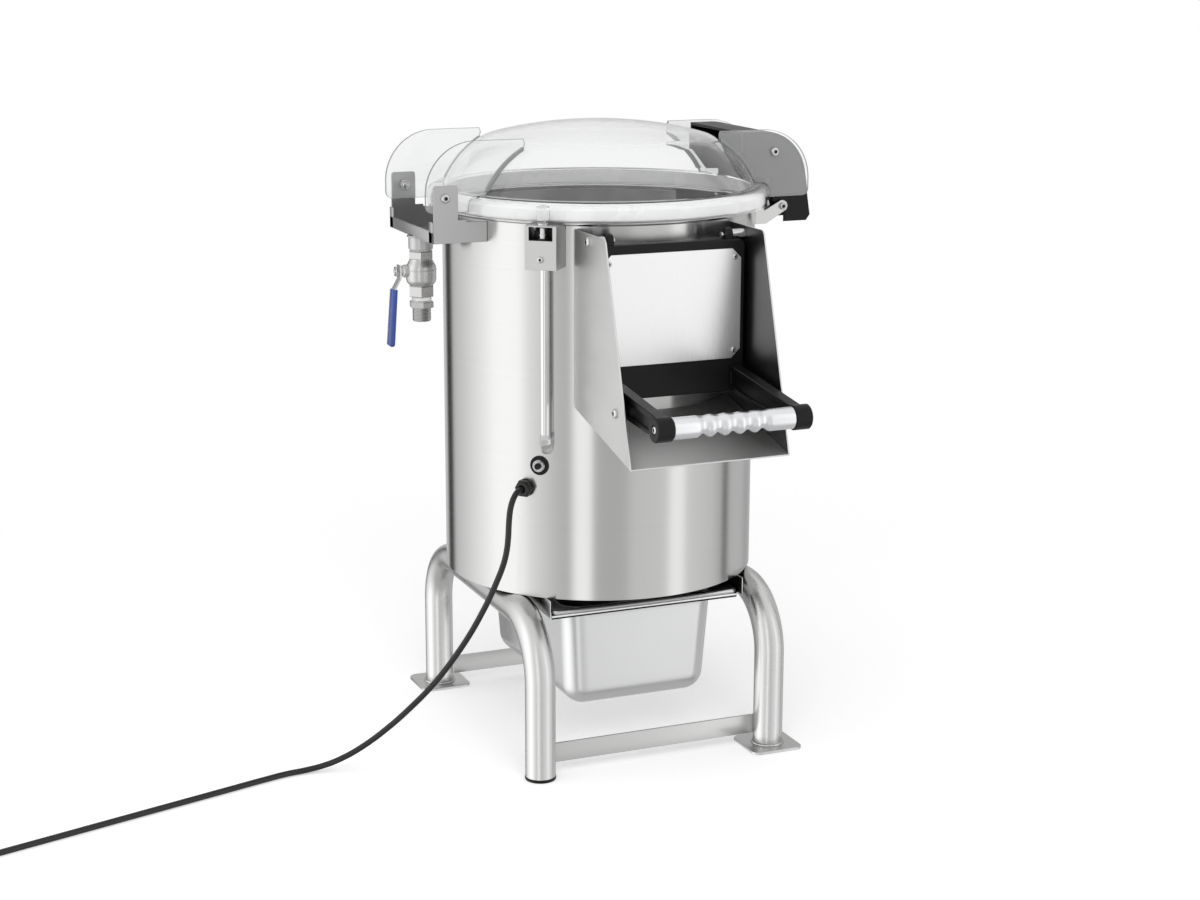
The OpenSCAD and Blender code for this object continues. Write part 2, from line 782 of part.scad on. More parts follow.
// closed tub, tapered to its foot, standing in from the rim by inset
module tub(inset, low, top, r) {
    w = pan_w / 2 - pan_rim - inset;
    l = pan_l / 2 - pan_front_wall - inset;
    taper = 7;
    hull() for (x = [-1, 1], y = [-1, 1]) {
        translate([x * (w - r), y * (l - r), top - 1]) cylinder(r = r, h = 1, $fn = 32);
        translate([x * (w - taper - r), y * (l - taper - r), low + r]) sphere(r = r, $fn = 32);
    }
}

module catch_pan() color(bright) translate([0, pan_y0 + pan_l / 2, 0]) {
    r = 30;
    rim_h = 4.7;
    difference() {
        union() {
            tub(0, pan_top - pan_h, pan_top - rim_h + 2, r);
            translate([0, 0, pan_top - rim_h]) linear_extrude(rim_h) round_rect(pan_w, pan_l, 10);
        }
        tub(pan_t, pan_top - pan_h + pan_t, pan_top + 2, r - pan_t);
    }
}

// ---- discharge door ----

module door_hinge_bolts() color(bright) for (s = [-1, 1]) scale([s, 1, 1])
    translate([0, door_axis_y, door_axis_z]) {
        rod_x(eye_x - 4, cheek_out, pin_d);
        rod_x(eye_x + eye_t + seat_gap, cheek_in, spacer_d);
        rod_x(cheek_out, cheek_out + 4, 13);
    }

module door_catches() color(bright) for (s = [-1, 1]) scale([s, 1, 1])
    translate([0, catch_y, catch_z]) {
        rod_x(cheek_in - eps, cheek_out, 6);
        rod_x(arm_x + arm_t + 0.4, cheek_in, 10);
        rod_x(cheek_out, cheek_out + 4, 13);
    }

module door_panel() color(black) difference() {
    union() {
        translate([0, 0, (door_top + door_low) / 2])
            plate_xz(door_front, door_t) round_rect(door_w, door_h, 10);
        intersection() {
            translate([-window_w / 2 + 2.5, door_back - 1, window_low + 8])
                cube([window_w - 5, 80, window_top - window_low - 12]);
            difference() {
                translate([0, 0, door_low]) cylinder(r = 2 * drum_r, h = door_h);
                translate([0, 0, door_low - 1]) cylinder(r = liner_r, h = door_h + 2);
            }
        }
        for (s = [-1, 1]) scale([s, 1, 1]) translate([0, door_axis_y, 0]) {
            translate([0, 0, door_axis_z]) rod_x(eye_x, eye_x + eye_t, 2 * eye_r);
            translate([eye_x, -eye_r, door_top - 20])
                cube([eye_t, door_back - door_axis_y + eye_r, door_axis_z - door_top + 20]);
        }
    }
    translate([0, door_axis_y, door_axis_z]) {
        rod_x(-drum_r, drum_r, pin_d + 2 * run_gap);
        for (s = [-1, 1]) scale([s, 1, 1]) rod_x(eye_x + eye_t, drum_r, spacer_d + 1);
    }
}

module plate_outline(w, h, c) {
    polygon([
        [-w / 2 + c, -h / 2], [w / 2 - c, -h / 2], [w / 2, -h / 2 + c], [w / 2, h / 2 - c],
        [w / 2 - c, h / 2], [-w / 2 + c, h / 2], [-w / 2, h / 2 - c], [-w / 2, -h / 2 + c]
    ]);
}

module door_face_plate() color(bright) translate([0, 0, face_top - face_h / 2])
    plate_xz(door_front - face_t, face_t) plate_outline(face_w, face_h, 13);

module door_seal() color(dark) translate([0, 0, (window_top + window_low) / 2])
    plate_xz(door_back, seal_t) difference() {
        // its top stays just under the door's hinge eyes
        translate([0, -1.5]) square([window_w + 9, window_top - window_low + 6], center = true);
        square([window_w - 5, window_top - window_low - 8], center = true);
    }

// both arms with the round ends that hold the grip
module handle_arms() color(black) for (s = [-1, 1]) scale([s, 1, 1]) difference() {
    union() {
        plate_yz(arm_x, arm_t) polygon([
            [door_front, grip_z + 35], [door_front, grip_z + 2], [door_front - 60, grip_z - 6],
            [grip_y, grip_z - 15], [grip_y, grip_z + 15]
        ]);
        translate([0, grip_y, grip_z]) rod_x(boss_x, boss_x + boss_w, 33);
    }
    translate([0, grip_y, grip_z]) rod_x(boss_x + boss_w - 3, boss_x + boss_w + 1, 12);
}

// half length of the grip's waved middle, and one wave's height
grip_half = boss_x;
wave_w = 21;
wave_h = 2.2;
waves = 5;

module handle_grip() color([0.8, 0.8, 0.82]) translate([0, grip_y, grip_z]) rotate([0, 90, 0])
    rotate_extrude() polygon(concat(
        [[0, -grip_half], [grip_d / 2, -grip_half]],
        [
            for (i = [0:waves * 8])
                let (x = (i / 8 - waves / 2) * wave_w)
                [grip_d / 2 - wave_h + wave_h * cos(360 * i / 8), x]
        ],
        [[grip_d / 2, grip_half], [0, grip_half]]
    ));

module door_screws() color(bright) {
    for (x = [-1, 1], z = [-1, 1])
        translate([x * screw_dx, 0, face_top - face_h / 2 + z * (face_h / 2 - screw_dz)])
            rod_y(door_front - face_t - 2, door_front - face_t, 8);
    for (s = [-1, 1]) scale([s, 1, 1])
        translate([0, grip_y, grip_z]) rod_x(boss_x + boss_w - 3, boss_x + boss_w + 0.5, 11);
}

// ---- lid ----

// outline of the dome at depth t below its outer face, from the base up to the axis
function dome_outline(t, base_z) =
    let (
        c0 = [dome_r - side_r * cos(side_a0), flange_top - side_r * sin(side_a0)],
        k1 = side_r - shoulder_r,
        c1 = c0 + k1 * [cos(side_a1), sin(side_a1)],
        crown_r = (c1[0] + shoulder_r * cos(shoulder_a)) / cos(shoulder_a),
        c2 = [0, c1[1] - (crown_r - shoulder_r) * sin(shoulder_a)],
        start_a = asin((base_z - c0[1]) / (side_r - t))
    )
    concat(
        arc(c0, side_r - t, start_a, side_a1, 8),
        arc(c1, shoulder_r - t, side_a1 + 5, shoulder_a, 4),
        arc(c2, crown_r - t, shoulder_a + 2, 90, 7)
    );

// outline of the skirt at depth t, from its lower edge to the flange's top
function skirt_outline(t) = concat(
    [[skirt_outer - t, lid_z]],
    arc([skirt_outer - skirt_r, flange_top - skirt_r], skirt_r - t, 0, 90, 6)
);

module lid_solid() {
    rotate_extrude() polygon(concat(
        [[0, lid_z]], skirt_outline(0), dome_outline(0, flange_top)
    ));
}

function backwards(p) = [for (i = [len(p) - 1:-1:0]) p[i]];

module lid_dome() color(clear) rotate_extrude() polygon(concat(
    skirt_outline(0), dome_outline(0, flange_top),
    backwards(dome_outline(lid_t, flange_top - lid_t)), backwards(skirt_outline(lid_t))
));

module lid_gasket() color([0.9, 0.91, 0.9, 0.8]) {
    low = rim_z + seat_gap;
    top = flange_top - lid_t;
    outer = skirt_outer - 6;
    rotate_extrude() polygon([
        [drum_r, low + 2], [drum_r + 2, low], [outer - 2, low], [outer, low + 2],
        [outer, top - 7], [outer - 8, top], [drum_r, top]
    ]);
}

// side plate beside the lid, drawn on the +X side
module ear_outline() {
    polygon(concat(
        [[ear_start - 60, ear_low], [ear_start - 60, ear_cz + ear_r - 30], [ear_start, ear_cz + ear_r - 6]],
        [[ear_start + 2, ear_cz + ear_r]],
        arc([ear_cx, ear_cz], ear_r, 90, 0, 14),
        arc([ear_cx + ear_r - ear_corner, ear_low + ear_corner], ear_corner, 0, -90, 5)
    ));
}

module ear_pair(bolt_x, bolt_z) {
    difference() {
        for (s = [-1, 1]) plate_xz(s < 0 ? -ear_out : ear_in, ear_t) ear_outline();
        lid_solid();
        translate([bolt_x, 0, bolt_z]) rod_y(-ear_out - 5, ear_out + 5, bolt_d + 2 * run_gap);
    }
}

module lid_ears() color(clear) {
    scale([-1, 1, 1]) ear_pair(-hinge_x, hinge_z);
    ear_pair(pivot_x, pivot_z);
}

module switch_actuator() color(clear) on_drum(switch_a, 0) {
    low = switch_top + 1;
    difference() {
        union() {
            translate([actuator_r, 0, lid_z + 5]) cylinder(d = 18, h = 18);
            translate([skirt_outer - 6, -7, lid_z + 7]) cube([14, 14, 14]);
        }
        lid_solid();
    }
    translate([actuator_r, 0, low]) cylinder(d = actuator_d, h = lid_z + 8 - low);
}

module latch_pivots() color(bright) for (s = [-1, 1]) translate([pivot_x, 0, pivot_z]) scale([1, s, 1]) {
    rod_y(latch_out - latch_wall - 2, ear_out, bolt_d);
    rod_y(ear_out, ear_out + 4, 13);
}

// outer side of the latch handle, in X and Z
module latch_outline(t) {
    r = ear_r - 3 - t;
    polygon(concat(
        [[drum_r - 40, ear_cz], [drum_r - 40, ear_cz + r]],
        arc([ear_cx, ear_cz], r, 90, 10, 10),
        [[lip_x - t, lip_z + 8], [lip_x - 6 - t, lip_z], [drum_r + 11, lip_z]]
    ));
}

// the region that the handle keeps clear of: the dome, the skirt and the keeper pin's way out
module latch_clearance(wide) {
    polygon([
        [0, ear_cz + ear_r], [drum_r - 40, ear_cz + ear_r], [drum_r - (wide ? 58 : 40), ear_cz + ear_r - 10],
        [drum_r - 32, rim_z + 60], [drum_r - 11, rim_z + 32], [drum_r + 11, rim_z + 32],
        [drum_r + 11, pin_z + 6.5], [pin_x + 6, pin_z + 6.5], [pin_x + 6, lip_z - 20], [0, lip_z - 20]
    ]);
}

module latch_handle() color(black) difference() {
    union() {
        for (s = [-1, 1]) plate_xz(s < 0 ? -latch_out : latch_out - latch_wall, latch_wall) difference() {
            latch_outline(0);
            latch_clearance(true);
        }
        plate_xz(-latch_out, 2 * latch_out) difference() {
            latch_outline(0);
            latch_outline(latch_wall);
            translate([0, lip_z - 40]) square([pin_x + 14, 60]);
            latch_clearance(false);
        }
    }
    translate([pivot_x, 0, pivot_z]) rod_y(-ear_out - 5, ear_out + 5, bolt_d + 2 * run_gap);
}

// ---- lid hardware on the drum ----

module bracket_side() {
    r = 4;
    skirt_low = lid_z - 4;
    polygon(concat(
        [[bracket_end, bracket_low], [-drum_r + 40, bracket_low], [-drum_r + 40, skirt_low]],
        [[bracket_end + tab_w, skirt_low]],
        arc([bracket_end + tab_w - r, tab_top - r], r, 0, 90, 4),
        arc([bracket_end + r, tab_top - r], r, 90, 180, 4)
    ));
}

module hinge_bracket() color(steel) {
    w = bracket_in + bracket_t;
    difference() {
        union() {
            for (s = [-1, 1]) plate_xz(s < 0 ? -w : bracket_in, bracket_t) bracket_side();
            translate([bracket_end, -w, bracket_low]) cube([hinge_out + 40, 2 * w, bracket_t]);
            translate([bracket_end - bracket_t, -w, bracket_low]) cube([bracket_t, 2 * w, 16]);
            for (s = [-1, 1]) translate([bracket_end - bracket_t, s < 0 ? -w : bracket_in - 12, bracket_low])
                cube([bracket_t, 12 + bracket_t, 29]);
        }
        drum_core();
        translate([inlet_x, 0, bracket_low - 5]) cylinder(d = thread_d, h = 20);
        translate([hinge_x, 0, hinge_z]) rod_y(-w - 5, w + 5, bolt_d);
    }
    translate([inlet_x, 0, bracket_low - socket_l]) ring(socket_d, thread_d, socket_l);
}

module hinge_bolts() color(bright) for (s = [-1, 1]) translate([hinge_x, 0, hinge_z]) scale([1, s, 1]) {
    w = bracket_in + bracket_t;
    rod_y(ear_in - 10, w, bolt_d);
    rod_y(w, w + 4, 13);
    translate([0, ear_in - 7.5, 0]) rotate([-90, 0, 0]) cylinder(d = 13 / cos(30), h = 6.5, $fn = 6);
}

module keeper_arms() color(steel) difference() {
    for (s = [-1, 1]) plate_xz(s < 0 ? -keeper_in - keeper_t : keeper_in, keeper_t) union() {
        translate([pin_x, pin_z]) circle(8.5);
        polygon([
            [drum_r - 40, lip_z - 1], [drum_r - 1, lip_z - 1],
            [pin_x + 8.5 * cos(-40), pin_z + 8.5 * sin(-40)],
            [pin_x + 8.5 * cos(130), pin_z + 8.5 * sin(130)],
            [drum_r - 4, pin_z - 5], [drum_r - 8, pin_z + 1], [drum_r - 40, pin_z + 1]
        ]);
    }
    drum_core();
    translate([pin_x, 0, pin_z]) rod_y(-200, 200, 6);
}

module keeper_pins() color(bright) for (s = [-1, 1]) translate([pin_x, 0, pin_z]) scale([1, s, 1]) {
    rod_y(pin_in, keeper_in + keeper_t, 6);
    rod_y(keeper_in + keeper_t, keeper_in + keeper_t + 4.5, 10);
}

// ---- water inlet ----

valve_top = bracket_low - socket_l - 2;
ball_z = valve_top - 28;
ball_r = bore_d / 2 + 4;
low_hex = valve_top - 49;
valve_low = low_hex - 15;

module hexagon(af, h) {
    cylinder(d = af / cos(30), h = h, $fn = 6);
}

module valve_body() color(bright) translate([inlet_x, 0, 0]) difference() {
    union() {
        translate([0, 0, valve_top - 1]) cylinder(d = thread_d, h = 17);
        translate([0, 0, valve_top - 12]) hexagon(32, 12);
        translate([0, 0, ball_z + 6]) cylinder(d1 = valve_d, d2 = 30, h = 12);
        translate([0, 0, ball_z - 14]) cylinder(d = valve_d, h = 20 + eps);
        translate([0, 0, low_hex]) cylinder(d1 = 30, d2 = valve_d, h = ball_z - 14 - low_hex + eps);
        translate([0, 0, valve_low]) hexagon(33, 15 + eps);
        translate([0, 0, ball_z]) rod_x(-valve_d / 2 - 6, 0, 18);
    }
    translate([0, 0, valve_low - 1]) cylinder(d = bore_d, h = 120);
    translate([0, 0, valve_low - 1]) cylinder(d = thread_d, h = 16);
    translate([0, 0, ball_z]) sphere(ball_r + seat_gap);
    translate([0, 0, ball_z]) rod_x(-valve_d, 0, 8 + 2 * run_gap);
}

module valve_ball() color(bright) translate([inlet_x, 0, ball_z]) {
    difference() {
        sphere(ball_r);
        translate([0, 0, -30]) cylinder(d = bore_d, h = 60);
    }
    rod_x(-valve_d / 2 - 14, -ball_r + 0.8, 8);
}

nipple_low = valve_low - 35;

module valve_nipple() color(bright) translate([inlet_x, 0, 0]) difference() {
    union() {
        translate([0, 0, nipple_low]) cylinder(d = thread_d, h = 19);
        translate([0, 0, nipple_low + 19]) hexagon(31, 9);
        translate([0, 0, nipple_low + 28]) cylinder(d = thread_d, h = 21);
    }
    translate([0, 0, nipple_low - 1]) cylinder(d = bore_d, h = 60);
}

lever_x = inlet_x - valve_d / 2 - 12;

// lever's side, in X and Z, hanging from the stem
module valve_lever() color(steel) difference() {
    union() {
        plate_xz(-7.5, 15) translate([lever_x, ball_z]) polygon([
            [2.5, 9], [0, 9], [0, -10], [-8, -24], [-14, -lever_l + 4], [-11.5, -lever_l + 4],
            [-5.5, -24], [2.5, -9]
        ]);
        translate([lever_x, 0, ball_z]) rod_x(-2, 2.5, 15);
        translate([lever_x - 5, 0, ball_z]) rotate([0, 90, 0]) hexagon(13, 5);
    }
    translate([0, 0, ball_z]) rod_x(lever_x - 3, lever_x + 10, 8);
}

module lever_sleeve() color([0.1, 0.35, 0.75]) difference() {
    plate_xz(-8.5, 17) translate([lever_x, ball_z]) polygon([
        [-6.2, -24.5], [-3.6, -24.5], [-9, -lever_l], [-16.5, -lever_l], [-10.2, -24.5]
    ]);
    plate_xz(-7.5, 15) translate([lever_x, ball_z]) polygon([
        [-8, -24], [-14, -lever_l + 4], [-11.5, -lever_l + 4], [-5.5, -24]
    ]);
}

leg_frame_left();
leg_frame_right();
cross_bars();
foot_plates();
foot_caps();
base_plate();
drum_shell();
door_frame();
chamber_floor();
drain_spout();
drum_liner();
chute();
peeling_disc();
disc_nut();
drive_shaft();
bearing_housing();
bearings();
shaft_pulley();
drive_belt();
motor();
motor_bracket();
motor_shaft();
motor_pulley();
breaker_body();
breaker_ring();
breaker_button();
cable_gland();
mains_cord();
mains_coil();
mains_plug();
conduit_tube();
conduit_elbow();
switch_box();
lid_switch();
lid_plunger();
pan_rails();
catch_pan();
door_hinge_bolts();
door_catches();
door_panel();
door_face_plate();
door_seal();
handle_arms();
handle_grip();
door_screws();
lid_dome();
lid_gasket();
lid_ears();
switch_actuator();
latch_pivots();
latch_handle();
hinge_bracket();
hinge_bolts();
keeper_arms();
keeper_pins();
valve_body();
valve_nipple();
valve_ball();
valve_lever();
lever_sleeve();
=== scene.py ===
import json
from itertools import product
from math import asin, atan2, cos, degrees, pi, radians, sin, sqrt

import bmesh
import bpy
from mathutils import Matrix, Vector

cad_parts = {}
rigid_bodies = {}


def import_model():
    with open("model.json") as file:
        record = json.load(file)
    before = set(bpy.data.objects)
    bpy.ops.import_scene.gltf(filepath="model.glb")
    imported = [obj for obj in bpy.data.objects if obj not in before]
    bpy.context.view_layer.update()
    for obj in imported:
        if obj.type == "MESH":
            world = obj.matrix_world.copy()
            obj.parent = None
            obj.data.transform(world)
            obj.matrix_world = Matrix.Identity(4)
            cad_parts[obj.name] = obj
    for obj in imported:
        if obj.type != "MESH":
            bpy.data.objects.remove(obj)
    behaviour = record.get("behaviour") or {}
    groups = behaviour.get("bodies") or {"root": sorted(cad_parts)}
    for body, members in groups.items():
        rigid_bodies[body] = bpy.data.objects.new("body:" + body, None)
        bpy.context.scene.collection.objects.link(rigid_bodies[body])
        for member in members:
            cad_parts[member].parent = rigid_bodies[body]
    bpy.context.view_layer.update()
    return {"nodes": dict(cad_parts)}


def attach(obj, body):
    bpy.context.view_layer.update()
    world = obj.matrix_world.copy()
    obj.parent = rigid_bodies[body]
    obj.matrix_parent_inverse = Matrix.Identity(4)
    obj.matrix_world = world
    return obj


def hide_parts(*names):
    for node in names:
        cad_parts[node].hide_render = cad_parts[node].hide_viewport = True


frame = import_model()

# The machine's own sizes are in millimetres, and finish_piece() turns them into metres.
MM = 0.001

DRUM_R = 223
INNER_R = 221
LINER_R = 217
DRUM_BASE = 244
RIM_Z = 771
BEAD = 3.5
LEG_X, LEG_Y = 176, 217
BAR_Y, BAR_T, BAR_LOW, BAR_TOP = LEG_Y - 12, 4, 16, 44
TUBE_R = 21.2
BEND_R = 85
RAIL_Z = DRUM_BASE - TUBE_R
PLATE_T = 4
LID_Z = 770
EAR_IN, EAR_OUT = 86, 91
HINGE_X, HINGE_Z = -262, 796
PIVOT_X, PIVOT_Z = 233, 840
PIN_X, PIN_Z = 247, 762
INLET_X = -267
BALL_Z = 686
LEVER_X = -300
DOOR_FRONT, DOOR_BACK = -254, -238
DOOR_LOW, DOOR_TOP = 536, 744
GRIP_Y, GRIP_Z = -441, 538
# Angle round the drum and height of what is mounted on its wall.
SWITCH_AT, CONDUIT_AT, BREAKER_AT, GLAND_AT = (230.3, 709), (229.3, 460), (226.3, 433), (221.07, 400)
PLUNGER_R = 252
CONDUIT_R = DRUM_R + 8.75
BOLT_HOLE, PIN_HOLE = 4.05, 3.05
CORD_D = 8.3

X, Y, Z = Vector((1, 0, 0)), Vector((0, 1, 0)), Vector((0, 0, 1))


# ---- camera and cord ----

def into_scene(name, data):
    made = bpy.data.objects.new(name, data)
    bpy.context.scene.collection.objects.link(made)
    return made


def aimed(spot, target):
    """Stands at a spot and looks along its own -Z at a target."""
    return Matrix.Translation(spot) @ (target - spot).to_track_quat("-Z", "Y").to_matrix().to_4x4()


# The camera stands in metres.
CAMERA_SPOT, CAMERA_AIM = Vector((-1.2257, -2.9276, 1.1677)), Vector((0.0033, 0, 0.4045))
CAMERA_LENS, CAMERA_ROLL = 66.9, 0.15


def place_camera():
    lens = bpy.data.cameras.new("photo_camera")
    lens.sensor_width = 36
    lens.lens = CAMERA_LENS
    lens.clip_start, lens.clip_end = 0.05, 60
    camera = into_scene("photo_camera", lens)
    camera.matrix_world = aimed(CAMERA_SPOT, CAMERA_AIM) @ Matrix.Rotation(radians(CAMERA_ROLL), 4, "Z")
    bpy.context.scene.camera = camera


place_camera()

CORD_POINTS = [
    (-174.2, -151.7, 400), (-181.7, -158.3, 400), (-188.5, -164.2, 398.5), (-194.6, -169.4, 394),
    (-199.5, -173.7, 387.5), (-203.2, -177, 379), (-205.5, -179, 368), (-206.6, -179.6, 356),
    (-207.3, -179, 340), (-209.5, -177, 318), (-214, -174.2, 298), (-221.5, -171, 277),
    (-230.5, -167, 254), (-241.5, -162.4, 230), (-254, -157, 205), (-268, -151, 180.5),
    (-284, -144.4, 155.5), (-305, -135.6, 126.5), (-333, -124, 94.5), (-364, -111.2, 63.5),
    (-397, -97.5, 36), (-425, -86.6, 18.6), (-448, -79.3, 9.4), (-472, -76, 5.2),
    (-500, -77.8, 4.4), (-530, -85.6, 4.4), (-590, -103.7, 4.4), (-665, -126.4, 4.4),
    (-740, -149.1, 4.4), (-815, -171.9, 4.4), (-890, -194.6, 4.4), (-957, -214.9, 4.4),
]
CORD_END = Vector(CORD_POINTS[-1])
CORD_DIR = (CORD_END - Vector(CORD_POINTS[-2])).normalized()
LOOPS, LOOP_STEPS = 3, 24
LOOP_PITCH, LAYER_PITCH = 10.5, 8.9
TURNS_IN = (LOOPS - 0.5) / 2
LOOP_OUTER = 46 + LOOP_PITCH * TURNS_IN / 2
LOOP_START = CORD_END + 10 * CORD_DIR
LOOP_CENTRE = LOOP_START + LOOP_OUTER * Vector((CORD_DIR.y, -CORD_DIR.x, 0))
LOOP_A0 = atan2(LOOP_START.y - LOOP_CENTRE.y, LOOP_START.x - LOOP_CENTRE.x)
PLUG_Z = 19.5


def coil_point(turns):
    """A point of the coil: it winds inwards on the floor, steps up a layer, and winds out again."""
    if turns < TURNS_IN:
        inwards = turns
    elif turns < TURNS_IN + 0.5:
        inwards = TURNS_IN
    else:
        inwards = LOOPS - turns
    radius = LOOP_OUTER - LOOP_PITCH * inwards
    angle = LOOP_A0 - 2 * pi * turns
    height = LAYER_PITCH * min(1, max(0, (turns - TURNS_IN) * 2))
    return LOOP_CENTRE + Vector((radius * cos(angle), radius * sin(angle), height))


def cord_route():
    route = [Vector(p) for p in CORD_POINTS]
    route += [coil_point(i / LOOP_STEPS) for i in range(LOOPS * LOOP_STEPS + 1)]
    last = route[-1]
    rise = PLUG_Z - last.z
    for k in range(1, 6):
        lift = (1 - cos(pi * k / 4)) / 2 if k < 4 else 1
        route.append(last + CORD_DIR * 11 * k + Z * rise * lift)
    return route


def make_cord():
    route = cord_route()
    line = bpy.data.curves.new("mains_lead", "CURVE")
    line.dimensions = "3D"
    line.resolution_u = 4
    line.bevel_depth = CORD_D / 2 * MM
    line.bevel_resolution = 6
    line.use_fill_caps = True
    spline = line.splines.new("BEZIER")
    spline.bezier_points.add(len(route) - 1)
    for point, at in zip(spline.bezier_points, route):
        point.co = at * MM
        point.handle_left_type = point.handle_right_type = "AUTO"
    return into_scene("mains_lead", line)


mains_lead = make_cord()


# ---- finishes ----

def put(tree, kind, *values, **named):
    """Adds a shader node. Values go to its inputs in order, capitalised names to the inputs that they name,
    and other names to the node's settings. A value that is another node's output is linked."""
    made = tree.nodes.new("ShaderNode" + kind)
    sockets = list(enumerate(values))
    for name, value in named.items():
        if name[0].isupper():
            sockets.append((name.replace("_", " "), value))
        else:
            setattr(made, name, value)
    for socket, value in sockets:
        if isinstance(value, bpy.types.NodeSocket):
            tree.links.new(value, made.inputs[socket])
        else:
            made.inputs[socket].default_value = value
    return made


def texture_group(name, outputs, **inputs):
    """An empty node group, with the sockets that its inputs give and the sockets of its outputs."""
    group = bpy.data.node_groups.new(name, "ShaderNodeTree")
    for label, value in inputs.items():
        kind = "NodeSocketVector" if isinstance(value, tuple) else "NodeSocketFloat"
        made = group.interface.new_socket(name=label.replace("_", " "), in_out="INPUT", socket_type=kind)
        made.default_value = value
    for label in outputs:
        group.interface.new_socket(name=label, in_out="OUTPUT", socket_type="NodeSocketFloat")
    return group, group.nodes.new("NodeGroupInput").outputs, group.nodes.new("NodeGroupOutput").inputs


def finish_group(group, given, out, pattern, **more):
    """Spreads a pattern over the roughness from Low to High, and gives out the rest as it is."""
    more["Roughness"] = put(
        group, "MapRange", Value=pattern, From_Min=0.3, From_Max=0.7,
        To_Min=given["Low"], To_Max=given["High"],
    ).outputs["Result"]
    for label, source in more.items():
        group.links.new(source, out[label])
    return group


def grain_group():
    """Drawn-out streaks: Streaks stretches the pattern, and a cloud adds slow variation."""
    group, given, out = texture_group(
        "metal_grain", ("Roughness", "Height"), Streaks=(60, 60, 2500), Cloud_Scale=7, Low=0.2, High=0.3
    )
    spot = put(group, "TexCoord").outputs["Object"]
    drawn = put(group, "VectorMath", spot, given["Streaks"], operation="MULTIPLY").outputs[0]
    streaks = put(group, "TexNoise", Vector=drawn, Scale=1, Detail=4, Roughness=0.65).outputs["Fac"]
    cloud = put(group, "TexNoise", Vector=spot, Scale=given["Cloud Scale"], Detail=3).outputs["Fac"]
    slow = put(group, "Math", cloud, 0.4, operation="MULTIPLY").outputs[0]
    blend = put(group, "Math", streaks, 0.6, slow, operation="MULTIPLY_ADD").outputs[0]
    return finish_group(group, given, out, blend, Height=streaks)


def speckle_group():
    """Fine pebbled texture of a moulded or cast skin, with a slow mottling."""
    group, given, out = texture_group(
        "skin_grain", ("Roughness", "Height", "Mottle"), Scale=900, Low=0.4, High=0.5
    )
    spot = put(group, "TexCoord").outputs["Object"]
    grain = put(group, "TexNoise", Vector=spot, Scale=given["Scale"], Detail=3).outputs["Fac"]
    mottle = put(group, "TexNoise", Vector=spot, Scale=22, Detail=4).outputs["Fac"]
    return finish_group(group, given, out, mottle, Height=grain, Mottle=mottle)


METAL_GRAIN = grain_group()
SKIN_GRAIN = speckle_group()


def plain_material(name, **look):
    """A Principled material with its even values set on the shader's own sockets."""
    material = bpy.data.materials.new(name)
    material.use_nodes = True
    tree = material.node_tree
    shader = tree.nodes["Principled BSDF"]
    for socket, value in look.items():
        shader.inputs[socket.replace("_", " ")].default_value = value
    return material, tree, shader


def grained(name, look, **pattern):
    """A material whose roughness follows the pattern of a texture group."""
    material, tree, shader = plain_material(name, **look)
    grain = put(tree, "Group", **pattern).outputs
    tree.links.new(grain["Roughness"], shader.inputs["Roughness"])
    return material, tree, shader, grain


def shade_between(tree, shader, mask, dark, light):
    """Base colour runs from dark to light along a mask."""
    ramp = put(tree, "ValToRGB", mask)
    for stop, place, colour in zip(ramp.color_ramp.elements, (0.3, 0.7), (dark, light)):
        stop.position, stop.color = place, (*colour, 1)
    tree.links.new(ramp.outputs["Color"], shader.inputs["Base Color"])


def relief(tree, shader, height, strength, depth):
    """Raises the surface a little along a pattern."""
    bump = put(tree, "Bump", Strength=strength, Distance=depth, Height=height)
    tree.links.new(bump.outputs["Normal"], shader.inputs["Normal"])


def metal(name, colour, low, high, streaks, depth, strength=0.25, cloud=7, spread=0.02, **look):
    """Metal with a directional grain: streaks is how often the pattern changes along X, Y and Z per metre,
    and depth is that of its relief in metres."""
    material, tree, shader, grain = grained(
        name, dict(Metallic=1, **look), node_tree=METAL_GRAIN, Streaks=streaks, Cloud_Scale=cloud,
        Low=low, High=high,
    )
    dark, light = [c * (1 - spread) for c in colour], [min(1, c * (1 + spread)) for c in colour]
    shade_between(tree, shader, grain["Height"], dark, light)
    relief(tree, shader, grain["Height"], strength, depth)
    return material


def moulded(name, dark, light, low, high, scale, depth, strength=0.3, **look):
    """Plastic, rubber or cast skin with a fine pebbled grain."""
    material, tree, shader, grain = grained(name, look, node_tree=SKIN_GRAIN, Scale=scale, Low=low, High=high)
    shade_between(tree, shader, grain["Mottle"], dark, light)
    relief(tree, shader, grain["Height"], strength, depth)
    return material


def grey(value, warm=0.0):
    return (value, value * (1 - warm / 3), value * (1 - warm))


drum_steel = metal(
    "rolled drum steel", grey(0.5, 0.015), 0.19, 0.25, (3, 3, 1400), 0.000004, 0.08, 5,
    Anisotropic=0.74, Anisotropic_Rotation=0.25,
)
sheet_steel = metal("folded sheet steel", grey(0.54, 0.01), 0.26, 0.34, (18, 18, 1500), 0.000008)
chute_steel = metal("chute sheet steel", grey(0.62, 0.01), 0.36, 0.46, (900, 18, 40), 0.000006)
# Painted shade: the cheeks' inner faces get this dark steel in place of the shadow inside the chute.
cheek_painted_shade = metal("painted shade cheek steel", grey(0.15), 0.3, 0.4, (900, 18, 40), 0.000006)
slide_steel = metal("scuffed slide steel", grey(0.62, 0.01), 0.42, 0.52, (900, 12, 40), 0.00001)
bracket_steel = metal("dull bracket steel", grey(0.43), 0.3, 0.4, (30, 30, 1500), 0.000008)
# Painted shade: near-black steel in place of the shadow under the drum, on the base plate, the rail insides
# and between the pan's rim rolls.
painted_shade_underside = metal("painted shade underside", grey(0.02), 0.45, 0.6, (30, 30, 900), 0.00002)
tube_steel = metal("brushed stand tube", grey(0.59, 0.01), 0.24, 0.34, (900, 40, 900), 0.000006, 0.2)
